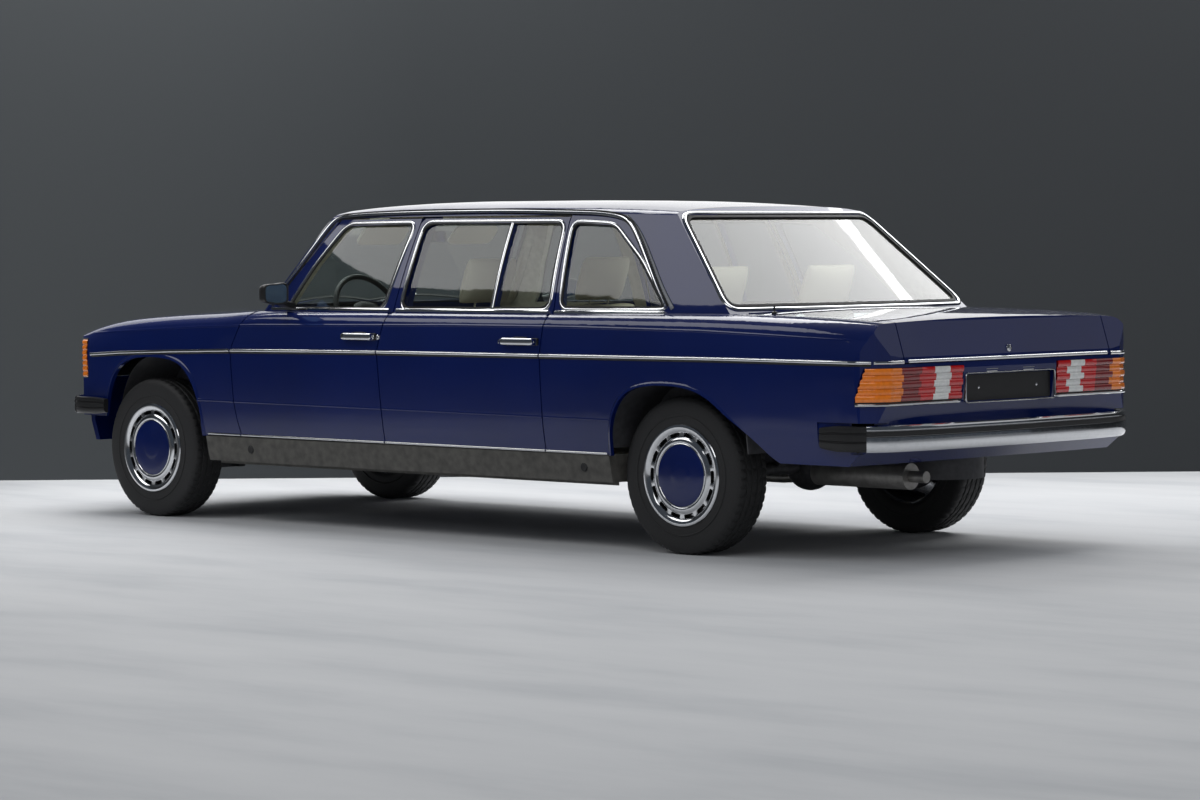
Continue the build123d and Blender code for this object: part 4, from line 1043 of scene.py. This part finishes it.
for sname, sign in SIDES:
    outward = Vector((0, sign, 0))
    for node, x0, x1, z in ((f"front_door_{sname}", 254, 460, 879), (f"rear_door_{sname}", -767, -560, 871)):
        xs = spread(x0 - 2, x1 + 2, 22)
        path = [(x, sign * (903.5 + 1.5 * sin(pi * k / 22)), z) for k, x in enumerate(xs)]
        grip = Mesh().run(path, outward, OVAL, chrome, taper=2)
        for x in (x0 + 13, x1 - 13):
            grip.run([(x + k, sign * SKIN_Y, z) for k in (-19, 0, 19)], outward, HANDLE_FOOT, black)
            grip.box(x - 14, x + 14, sign * 882, sign * 902, z - 11.5, z + 11.5, chrome)
        # black strip on the skin behind the grip: painted shade standing in for the hand recess
        path = [(x, sign * (SKIN_Y + 0.2), z + 1) for x in spread(x0 + 40, x1 - 40, 10)]
        grip.run(path, outward, [(-19, -2), (-17, 1.2), (17, 1.2), (19, -2)], seal, taper=3)
        lock_x = x1 + 20 if x1 < 0 else x0 - 18
        grip.turned(KEY_LOCK, 28, chrome, (lock_x, sign * (SKIN_Y + 1.5), z - 2), outward)
        grip.done(f"handle_{node}", node, slot="bright_trim")

    # door mirror: swept housing with its glass facing back
    low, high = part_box(f"door_mirror_{sname}")
    y_out = high.y * 1000 if sign > 0 else -low.y * 1000
    centre_y, half_y = (MIRROR_IN + y_out) / 2, (y_out - MIRROR_IN) / 2 - 1
    rings = []
    for x, k in MIRROR_RINGS:
        ring = []
        for c, s in rod(1, MIRROR_POINTS):
            yy, zz = squared(c, 0.42) * half_y * k, squared(s, 0.42) * MIRROR_HALF * k
            ring.append((x, sign * (centre_y + yy), MIRROR_Z + zz * (0.9 if c > 0 else 1.0)))
        rings.append(ring)
    faces = grid(len(rings), MIRROR_POINTS, ring=True) + caps(len(rings), MIRROR_POINTS)[1:]
    mirror = Mesh().add([p for ring in rings for p in ring], faces, black)
    mid_y = sign * centre_y
    inner = [(856, mid_y + (y - mid_y) * 0.9, MIRROR_Z + (z - MIRROR_Z) * 0.88) for _, y, z in rings[0]]
    mirror.plate(rings[0], inner, black)
    mirror.add([(855.5, y, z) for _, y, z in inner], [tuple(range(MIRROR_POINTS))], mirror_face)
    stalk = [(x, sign * y, z) for x, y, z in STALK_LINE]
    mirror.run(spline(stalk, 12), UP, STALK, black)
    obj = mirror.done(f"mirror_housing_{sname}", f"front_door_{sname}", slot="black_trim")
    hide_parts(f"door_mirror_{sname}")

    # ribbed vent strip behind the drip rail
    path, normals = side_path(rail_tree, spline(VENT_LINE, 7), sign)
    path, normals = evened(path), unit(evened(normals, False, 3))
    ribs = [p + n * (2.2 if k % 2 else 0.0) for k, (p, n) in enumerate(zip(path, normals))]
    vent = Mesh().run(ribs, normals, mirrored([(-8, -3), (-8, 1.5), (-5, 3)]), vent_grey)
    vent.run(path, normals, [(-11, -3), (-11, 1.5), (-9, 2.5), (-9, -3)], chrome)
    vent.done(f"pillar_vent_{sname}")

    # jacking plugs and the pinch seam of the sill
    sill_tree = tree_of("sills")
    plugs = Mesh()
    for x in (1150, -1010):
        hit = flank(sill_tree, x, 346, sign)
        plug = [(0.01, 2), (12, 2), (14, 3), (18, 3), (20, 0), (20, -3)]
        plugs.turned(plug, 32, rubber, (x, hit[0].y, 346), outward)
    seam = [(x, sign * 786, 284) for x in spread(-1150, 1440, 60)]
    plugs.run(seam, -UP, flat_bar(2, -3, 14), sill_grey)
    plugs.done(f"sill_details_{sname}", slot="inner_metal")

# wipers
wipers = Mesh()
for y0, y1 in ((-560, 120), (30, 640)):
    blade = []
    for k, y in enumerate(spread(y0, y1, 16)):
        z = 1012 + 26 * sin(pi * k / 16)
        blade.append(Vector((windscreen.x(y, z), y, z)) + windscreen.normal(y) * 5)
    normals = [windscreen.normal(p.y) for p in blade]
    wipers.run(blade, normals, flat_bar(3, -4, 4), rubber)
    wipers.run(blade, normals, [(-2, 4), (-5, 8), (5, 8), (2, 4)], black)
    pivot = Vector((1232, y1 - 60, 989))
    middle = blade[8] + windscreen.normal(blade[8].y) * 8
    line = spline([pivot, pivot.lerp(middle, 0.35) + Vector((0, 0, 10)), middle], 30)
    wipers.run(line, Vector((0.4, 0, 0.9)).normalized(), flat_bar(5, -3, 4), satin_steel)
    boss = [(0.01, 14), (8, 14), (12, 10), (14, 0), (14, -6)]
    wipers.turned(boss, 28, satin_steel, (pivot.x, pivot.y, pivot.z - 2), UP)
wipers.done("wipers", slot="black_trim")

# cowl grille, bonnet ridge with washer jets, aerial, fuel flap
cowl_tree = tree_of("scuttle", "bonnet")
cowl = Mesh()
for k in range(9):
    bar = dropped(cowl_tree, [(1224 + 3.6 * k, y) for y in range(-330, 331, 30)])
    cowl.run(bar, UP, flat_bar(1.1, -1, 2.6), black)
cowl.done("cowl_grille", slot="black_trim")
bonnet_tree = tree_of("bonnet")
ridge_line = dropped(bonnet_tree, [(x, 0) for x in spread(1290, 2440, 40)])
ridge = Mesh().run(ridge_line, UP, [(-26, -1), (-9, 1.6), (0, 2.4), (9, 1.6), (26, -1)], paint)
for jet in dropped(bonnet_tree, [(1330, -240), (1330, 240)]):
    ridge.turned([(0.01, 7), (4, 7), (7, 4), (10, 0), (10, -4)], 24, black, jet, UP)
ridge.done("bonnet_ridge", "bonnet", slot="body_paint")
MAST = [(0.01, 34), (3, 34), (4, 30), (4, 12), (9, 9), (11, 3), (11, -3)]
mast_foot = dropped(tree_of("quarter_panels", "rear_deck", "boot_lid"), [(-1963, 715)])[0]
Mesh().turned(MAST, 24, black, mast_foot, UP).done("aerial", slot="black_trim")
outline = cut_even(rounded(rect(-2010, -1860, 850, 760), 22), 20, closed=True)
path, normals = side_path(tree_of("quarter_panels"), outline, -1, closed=True)
flap = Mesh().run(path, normals, flat_bar(1.6, -1, 0.7), seal, closed=True)
flap.done("fuel_flap_line", slot="black_trim")

# ------------------------------------------------------------------ cabin
CUSHION_PULL, CUSHION_PLEAT, CUSHION_ZONE = 0.02, 5.0, 0.66


def pillow(mesh, centre, ex, ey, half, mat, power=5.0, pleats=0, crown=0.16, count=(30, 30)):
    """Closed crowned cushion. ex and ey lie in its face and ez = ex x ey points out of its front."""
    ex, ey = Vector(ex).normalized(), Vector(ey).normalized()
    ez = ex.cross(ey).normalized()
    a, b, c = half
    nu, nv = count
    verts, index = [], {}

    def key_of(face, i, j):
        """Front and back share the vertices of the rim."""
        return (0 if i in (0, nu) or j in (0, nv) else face, i, j)

    for face in (1, -1):
        for i in range(nu + 1):
            for j in range(nv + 1):
                key = key_of(face, i, j)
                if key in index:
                    continue
                u, v = squared(-cos(pi * i / nu), 0.8), squared(-cos(pi * j / nv), 0.8)
                lift = (max(0.0, 1 - abs(u) ** power) * max(0.0, 1 - abs(v) ** power)) ** (1 / 2.4)
                top = c * ((1 - crown) * lift + crown * (1 - u * u) * (1 - v * v))
                if pleats and face > 0 and abs(v) < CUSHION_ZONE and abs(u) < 0.86:
                    wave = abs(sin(pi * pleats * v / (2 * CUSHION_ZONE)))
                    top -= CUSHION_PLEAT * (1 - wave ** 0.45)
                su, sv = 1 - CUSHION_PULL * (1 - v * v) ** 2, 1 - CUSHION_PULL * (1 - u * u) ** 2
                corner = 1 - 0.05 * (abs(u) * abs(v)) ** 6
                place = Vector(centre) + ex * (a * u * su * corner) + ey * (b * v * sv * corner)
                index[key] = len(verts)
                verts.append(tuple(place + ez * (top * face)))

    def at(face, i, j):
        return index[key_of(face, i, j)]

    faces = []
    for face in (1, -1):
        for i in range(nu):
            for j in range(nv):
                quad = (at(face, i, j), at(face, i + 1, j), at(face, i + 1, j + 1), at(face, i, j + 1))
                faces.append(quad if face > 0 else quad[::-1])
    mesh.add(verts, faces, mat)
    ids = [at(1, i, 0) for i in range(nu)] + [at(1, nu, j) for j in range(nv)]
    ids += [at(1, i, nv) for i in range(nu, 0, -1)] + [at(1, 0, j) for j in range(nv, 0, -1)]
    mesh.run([Vector(verts[k]) for k in ids], ez, rod(3.2, 8), mat, closed=True)


def padded_piece(name, *args, replaces=None, **options):
    mesh = Mesh()
    pillow(mesh, *args, **options)
    obj = mesh.done(name, "body", angle=50, slot="seat_cloth")
    if replaces:
        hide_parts(replaces)
    return obj


LEAN, BACK = Vector((-0.343, 0, 0.939)), Vector((-0.325, 0, 0.946))
LEFTWARD, RIGHTWARD = (0, 1, 0), (0, -1, 0)
HEADREST = {"power": 2.8, "crown": 0.34, "count": (20, 24)}
for sname, sign in SIDES:
    y = 370.0 * sign
    padded_piece(
        f"front_seat_cushion_{sname}", (590, y, 466), (1, 0, 0.05), LEFTWARD, (262, 252, 58), cloth,
        replaces="front_seats", pleats=7,
    )
    padded_piece(f"front_seat_back_{sname}", (182, y, 722), LEAN, RIGHTWARD, (300, 246, 60), cloth, pleats=7)
    padded_piece(f"front_headrest_{sname}", (62, y, 1122), LEAN, RIGHTWARD, (104, 148, 62), cloth, **HEADREST)
    base = Mesh().box(350, 830, y - 235, y + 235, 360, 430, cabin_black)
    for rail_y in (y - 210, y + 210):
        base.box(345, 850, rail_y - 16, rail_y + 16, 331, 352, satin_steel)
    for post_y in (y - 60, y + 60):
        post = [(100, post_y, 960), (74, post_y, 1060)]
        base.run(post, Vector((1, 0, 0.3)).normalized(), rod(5, 12), chrome)
    base.done(f"seat_frame_{sname}", slot="cabin_black")
for sname, sign in SIDES:
    padded_piece(
        f"rear_cushion_{sname}", (-888, 312 * sign, 436), (1, 0, 0.06), LEFTWARD, (246, 306, 62), cloth,
        replaces="rear_bench", pleats=8,
    )
    seat, rest = (-1236, 318 * sign, 712), (-1318, 350 * sign, 1068)
    padded_piece(f"rear_back_{sname}", seat, BACK, RIGHTWARD, (244, 300, 56), cloth, pleats=8)
    padded_piece(f"rear_headrest_{sname}", rest, BACK, RIGHTWARD, (122, 156, 58), cloth, **HEADREST)
Mesh().box(-1120, -660, -600, 600, 331, 400, cloth).done("rear_bench_base", slot="seat_cloth")
padded_piece("rear_armrest", (-1196, 0, 742), BACK, RIGHTWARD, (210, 74, 66), cloth, count=(20, 14))

# dashboard: padded roll across the car
DASH_HALF, DRIVER_Y, HOOD_LOW = 688, 370, 880
DASH_SECTION = [
    (986, 700), (984, 872), (1014, 915), (1085, 934), (1190, 905), (1212, 800), (1212, 640), (1080, 606),
]
HOOD = [(-190, 880), (-178, 1000), (-120, 1022), (120, 1022), (178, 1000), (190, 880)]
section = rounded(DASH_SECTION, 30, steps=4)
verts = [
    (p.x + (abs(y) / DASH_HALF) ** 6 * 14, y, p.y - (abs(y) / DASH_HALF) ** 4 * 10)
    for y in spread(-DASH_HALF, DASH_HALF, 40) for p in section
]
dash = Mesh().add(verts, grid(41, len(section), ring=True) + caps(41, len(section)), cabin_black)
# hood of the dials
hood = rounded(HOOD, 40, closed=False)
hood_front, hood_back, well_front, well_back = (
    [(x, DRIVER_Y + p.x * wide, HOOD_LOW + (p.y - HOOD_LOW) * tall) for p in hood]
    for x, wide, tall in ((978, 1, 1), (1100, 1.02, 0.55), (980, 0.93, 0.92), (1040, 0.9, 0.86))
)
for a, b in ((hood_front, hood_back), (well_front, hood_front), (well_front, well_back)):
    dash.add([*a, *b], grid(2, len(hood)), cabin_black)
dash.add(well_back, [tuple(range(len(hood)))], seal)
# dials
for cy, cz, r in ((290, 940, 44), (370, 944, 54), (450, 940, 44)):
    dash.turned([(r, 4), (r + 3, 6), (r + 5, 2), (r + 5, -2)], 40, satin_steel, (1036, cy, cz), ASTERN)
    needle = [(1033, cy, cz), (1033, cy + r * 0.5, cz + r * 0.55)]
    dash.run(needle, ASTERN, mirrored([(-1.4, 0), (-0.6, 2)]), amber)
    for a in map(radians, spread(-40, 220, 12)):
        mark = [(1035, cy + cos(a) * r * k, cz + sin(a) * r * k) for k in (0.82, 0.94)]
        dash.run(mark, ASTERN, flat_bar(0.9, 0, 1.2), white_lens)
# vents, glovebox lid and its catch
for y0, y1 in ((560, 660), (60, 170), (-170, -60), (-660, -560)):
    for k in range(5):
        dash.box(978, 988, y0, y1, 838 + 9 * k, 842 + 9 * k, seal)
    path = [(983, p.x, p.y) for p in rounded(rect(y0 - 4, y1 + 4, 830, 886), 8)]
    dash.run(path, ASTERN, flat_bar(2, -2, 3), satin_steel, closed=True)
path = [(984, p.x, p.y) for p in rounded(rect(-560, -200, 712, 818), 14)]
dash.run(path, ASTERN, flat_bar(1.5, -2, 1.6), seal, closed=True)
dash.box(976, 984, -395, -360, 790, 806, chrome)
# console with its three panels, knobs and gear lever
console = rounded([(984, 830), (930, 640), (620, 520), (600, 460), (1000, 452)], 20, steps=4)
dash.plate(*([(p.x, y, p.y) for p in console] for y in (-96, 96)), cabin_black, "both")
for z in (700, 745, 790):
    x = 984 - (830 - z) * 54 / 190
    dash.box(x - 7, x + 6, -84, 84, z - 16, z + 16, seal)
    for y in (-62, 62):
        dash.turned([(0.01, 16), (9, 16), (11, 13), (11, 0)], 24, satin_steel, (x - 6, y, z), ASTERN)
dash.run([(760, 0, 560), (735, 0, 640), (725, 0, 680)], AHEAD, rod(5, 10), chrome)
knob = [(0.01, 30), (10, 28), (17, 16), (18, 4), (13, -14), (6, -20)]
dash.turned(knob, 24, cabin_black, (724, 0, 690), UP)
# pedals
for y in (300, 380, 460):
    dash.box(1120, 1130, y - 26, y + 26, 420, 470, rubber)
    dash.run([(1130, y, 460), (1190, y, 560)], UP, flat_bar(5, -4, 4), cast)
dash_obj = dash.done("dashboard_detail", slot="cabin_black")
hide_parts("dashboard")

# steering wheel, on the axis of its joint
HUB_BOSS = [
    (0.01, 18), (40, 17), (62, 10), (70, 0), (66, -14), (30, -18), (18, -30), (18, -180), (0.01, -180),
]
hub, axis = Vector((860, 370, 965)), Vector((-0.906308, 0, 0.422618))
w_right = Vector((0, 1, 0))
w_up = w_right.cross(axis)
path = [hub + w_right * p + w_up * q for p, q in rod(190, 72)]
wheel_mesh = Mesh().run(path, unit([p - hub for p in path]), rod(12.5, 12, 13), cabin_black, closed=True)
for angle in map(radians, (200, 250, 290, 340)):
    spoke = w_right * cos(angle) + w_up * sin(angle)
    path = [hub + spoke * r - axis * (10 if r < 60 else 4) for r in (30, 80, 130, 184)]
    wheel_mesh.run(path, axis, mirrored([(-13, -5), (-15, 0), (-11, 6)]), cabin_black)
verts, faces = lathe(HUB_BOSS, 40)
boss = [hub + w_right * a * (1.35 if t > -20 else 1) + w_up * u + axis * (t - 10) for a, t, u in verts]
wheel_mesh.add(boss, faces, cabin_black)
swheel = wheel_mesh.done("steering_wheel_rim", "steering_wheel", slot="cabin_black")
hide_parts("steering_wheel")

# door linings with armrests, pulls and window winders
WINDER = [(0.01, 12), (10, 12), (16, 8), (18, 0)]
for sname, sign in SIDES:
    inward = Vector((0, -sign, 0))
    for node, x0, x1 in ((f"front_door_{sname}", 282, 1150), (f"rear_door_{sname}", -740, 140)):
        outline = rounded([(x0, 430), (x1, 430), (x1 - 10, 940), (x0 + 10, 940)], 40, steps=4)
        loops = [[(p.x, sign * y, p.y) for p in outline] for y in (799.5, 803.5)]
        card = Mesh().plate(*loops, cloth, "near")
        card.box(x0, x1, sign * 797, sign * 802, 430, 560, carpet)
        path = [(x, sign * 798, 930) for x in (x0 + 20, (x0 + x1) / 2, x1 - 20)]
        card.run(path, inward, [(-22, -2), (-20, 8), (0, 14), (20, 8), (22, -2)], cabin_black)
        xs = spread(x0 + 90, x0 + 470, 12)
        arm = [(x, sign * 772, 690 + 14 * sin(pi * k / 12)) for k, x in enumerate(xs)]
        card.run(arm, UP, mirrored([(-30, -28), (-30, 10), (-20, 20)]), cloth, taper=3)
        for x in spread(x0, x1, 6)[1:-1]:
            seam = [(x, sign * 799, z) for z in (580, 900)]
            card.run(seam, inward, [(-2, -1), (0, 1.5), (2, -1)], cloth)
        card.turned(WINDER, 24, chrome, (x0 + 560, sign * 799, 640), inward)
        card.done(f"door_lining_{node}", node, slot="seat_cloth")

# parcel shelf, sun visors and inner mirror
Mesh().box(-1730, -1350, -640, 640, 962, 968, carpet).done("parcel_shelf", slot="cabin_black")
fittings = Mesh()
for sign in (1, -1):
    outline = rounded(rect(150, 430, 0, 120), 34, steps=5)
    ring = [(878 - p.y * 0.62, sign * p.x, 1286 + p.y * 0.66) for p in outline]
    fittings.plate(ring, [(x + 8, y, z + 8) for x, y, z in ring], headliner, "both")
outline = rounded([(-120, -28), (120, -28), (110, 28), (-110, 28)], 18, steps=5)
ring = [(846, p.x, 1322 + p.y) for p in outline]
fittings.plate(ring, [(862, p.x * 0.9, 1322 + p.y * 0.9) for p in outline], cabin_black, "far")
face = [(846.5, p.x * 0.95, 1322 + p.y * 0.9) for p in outline]
fittings.add(face, [tuple(range(len(face)))], mirror_face)
stem = [(862, 0, 1335), (850, 0, 1400)]
fittings.run(stem, Vector((0, 1, 0)), flat_bar(5, -5, 5), cabin_black)
fittings.done("visors_and_mirror", slot="cabin_black")

# ------------------------------------------------------------------ CAD nodes with a look of their own
LINING_DARK, LINING_PALE = (0.43, 0.40, 0.33), (0.52, 0.49, 0.41)
LINING_LOW, LINING_HALF = 0.97, 0.79


def lined_paint():
    """Paint outside and lining inside, told apart by which way a face looks and where it lies (in metres)."""
    mat, tree, bsdf = shader("body_paint_lined", "body_paint", (0.8, 0.8, 0.8))
    lining = ramp(tree, noise(tree, 40.0, 3.0), [(0.35, LINING_DARK), (0.65, LINING_PALE)])
    spot, facing = axes_of(tree), axes_of(tree, "Normal")
    side = maths(tree, "SIGN", spot[1])
    inward = maths(tree, "LESS_THAN", maths(tree, "MULTIPLY", side, facing[1]), -0.45)
    down = maths(tree, "LESS_THAN", facing[2], -0.35)
    looks_in = maths(tree, "MAXIMUM", inward, down)
    high = maths(tree, "GREATER_THAN", spot[2], LINING_LOW)
    near = maths(tree, "LESS_THAN", maths(tree, "ABSOLUTE", spot[1]), LINING_HALF)
    inside = maths(tree, "MULTIPLY", maths(tree, "MULTIPLY", looks_in, high), near)
    tones = blend(tree, inside, paint_base(tree), lining)
    lacquer(tree, bsdf, tones, maths(tree, "SUBTRACT", 1.0, inside))
    return mat


shell_paint = lined_paint()
OWN_LOOK = {
    "sills": sill_grey, "cabin_floor": carpet, "rear_bulkhead": sealed, "rear_deck": paint, "scuttle": paint,
    "roof_panel": shell_paint, "roof_pillars": shell_paint, "door_pillars": shell_paint,
    **{f"{end}_door_{s}": shell_paint for end in ("front", "rear") for s, _ in SIDES},
}
for name, mat in OWN_LOOK.items():
    nodes[name].data.materials[0] = mat

# painted plugs that close the door skins over the lower hinge pins
PLUG_Z, PLUG_PROUD, PLUG_DEEP = (672.0, 700.0), 0.12, 0.5
for door, axis_x in (("front_door", 1210.0), ("rear_door", 214.0)):
    for sname, sign in SIDES:
        skin = tree_of(f"{door}_{sname}")
        rows = []
        for z in PLUG_Z:
            near = flank(skin, axis_x - 12, z, sign)[0]
            edge = meet(skin, (axis_x + 60, near.y - sign, z), (-1, 0, 0))[0]
            far = flank(skin, edge.x - 1.5, z, sign)[0]
            rows.append((near, Vector((edge.x - 0.3, far.y, z))))
        outer = [rows[0][0], rows[0][1], rows[1][1], rows[1][0]]
        loops = [[p + Vector((0, sign * out, 0)) for p in outer] for out in (PLUG_PROUD, -PLUG_DEEP)]
        plug = Mesh().plate(*loops, paint, "both")
        plug.done(f"{door}_plug_{sname}", f"{door}_{sname}", slot="body_paint")


# ------------------------------------------------------------------ stage
def stage_mesh(name, corners, mat):
    mesh = bpy.data.meshes.new(name)
    mesh.from_pydata(corners, [], [tuple(range(len(corners)))])
    obj = bpy.data.objects.new(name, mesh)
    scene.collection.objects.link(obj)
    obj.data.materials.append(mat)
    return obj


def across(tree, limits, **settings):
    """How far a place lies across the view, x + y, mapped by the limits."""
    spot = axes_of(tree)
    total = maths(tree, "ADD", spot[0], spot[1])
    return make(tree, "MapRange", {"Value": total, **limits}, **settings).outputs[0]


# A worn pale floor with painted shade: its colour darkens far ahead of the car and far behind the camera,
# standing in for light falling off there
floor_mat, floor_tree, floor_bsdf = shader("studio_floor")
mottle = noise(floor_tree, 0.55, 6.0, stretch=(1.0, 3.4, 1.0), rough=0.6)
FLOOR_TONES = [(0.3, (0.44, 0.455, 0.475)), (0.5, (0.52, 0.53, 0.545)), (0.7, (0.56, 0.568, 0.58))]
worn = ramp(floor_tree, mottle, FLOOR_TONES)
# painted shade: the floor colour is multiplied down with distance across the view, in place of light falling
# off
painted_falloff = {"From Min": 3.0, "From Max": 7.4, "To Min": 1.0, "To Max": 0.22}
reach = across(floor_tree, painted_falloff, interpolation_type="SMOOTHSTEP")
tones = blend(floor_tree, 1.0, worn, reach, blend_type="MULTIPLY")
feed(floor_tree, floor_bsdf, {"Base Color": tones, "Roughness": 0.7, "Specular IOR Level": 0.25})
stage_mesh("studio_floor", [(-40, -40, 0), (40, -40, 0), (40, 40, 0), (-40, 40, 0)], floor_mat)

# A dark wall behind the car, seen from its front only
wall_mat, wall_tree, wall_bsdf = shader("studio_wall")
WALL_TONES = [(0.0, (0.037, 0.04, 0.043)), (0.5, (0.042, 0.046, 0.049)), (1.0, (0.07, 0.076, 0.08))]
# painted light: the wall colour brightens across the view, standing in for light falling unevenly on it
wall_painted_light = ramp(wall_tree, across(wall_tree, {"From Min": -3.0, "From Max": 5.0}), WALL_TONES)
feed(wall_tree, wall_bsdf, {"Base Color": wall_painted_light, "Specular IOR Level": 0.1, "Roughness": 0.9})
back_face = make(wall_tree, "NewGeometry").outputs["Backfacing"]
clear_back = make(wall_tree, "BsdfTransparent")
wall_mix = make(wall_tree, "MixShader", {"Fac": back_face, 1: wall_bsdf.outputs[0], 2: clear_back.outputs[0]})
feed(wall_tree, wall_tree.nodes["Material Output"], {"Surface": wall_mix.outputs[0]})
away = Vector((look.x, look.y, 0)).normalized()
along = Vector((-away.y, away.x, 0))
ends = away * 3.45 + along * 30, away * 3.45 - along * 30
wall = stage_mesh("studio_wall", [*ends, ends[1] + 16 * UP, ends[0] + 16 * UP], wall_mat)
wall.visible_shadow = False


def softbox(name, place, width, height, power, facing=None):
    """Rectangular light that looks down, or away from the given direction."""
    data = bpy.data.lights.new(name, "AREA")
    data.shape = "RECTANGLE"
    data.size, data.size_y = width, height
    data.energy = power
    obj = bpy.data.objects.new(name, data)
    scene.collection.objects.link(obj)
    turn = facing.to_track_quat("Z", "Y").to_matrix().to_4x4() if facing else Matrix.Identity(4)
    obj.matrix_world = Matrix.Translation(place) @ turn
    obj.visible_camera = False


softbox("softbox_top", (3.4, -0.9, 4.5), 5.6, 3.4, 330)
softbox("softbox_rear", (-1.4, -4.2, 4.5), 2.6, 5.8, 195)
softbox("softbox_left", (3.6, 4.0, 4.5), 5.6, 2.6, 100)
softbox("softbox_near", (-5.0, 4.5, 4.8), 5.0, 4.0, 85)
softbox("softbox_back", away * 3.3 + along * 0.4 + Vector((0, 0, 2.3)), 8.0, 1.5, 40, away)
softbox("softbox_high", away * 3.3 - along * 4.6 + Vector((0, 0, 3.9)), 3.4, 1.6, 58, away)
aside = Vector((-7.0, -7.0, 3.6))
softbox("softbox_tail", aside, 6.0, 3.0, 22, aside)

# The room's fill light, and the darker room that the camera, reflections and glass see
world = bpy.data.worlds.new("studio")
scene.world = world
world.use_nodes = True
world_tree = world.node_tree
fill = feed(world_tree, world_tree.nodes["Background"], {"Color": (0.45, 0.46, 0.475, 1), "Strength": 1.0})
seen = make(world_tree, "Background", {"Color": (0.045, 0.052, 0.062, 1), "Strength": 1.0})
rays = make(world_tree, "LightPath").outputs
either = maths(world_tree, "MAXIMUM", rays["Is Camera Ray"], rays["Is Glossy Ray"])
third = maths(world_tree, "MAXIMUM", either, rays["Is Transmission Ray"])
pick = make(world_tree, "MixShader", {"Fac": third, 1: fill.outputs[0], 2: seen.outputs[0]})
feed(world_tree, world_tree.nodes["World Output"], {"Surface": pick.outputs[0]})
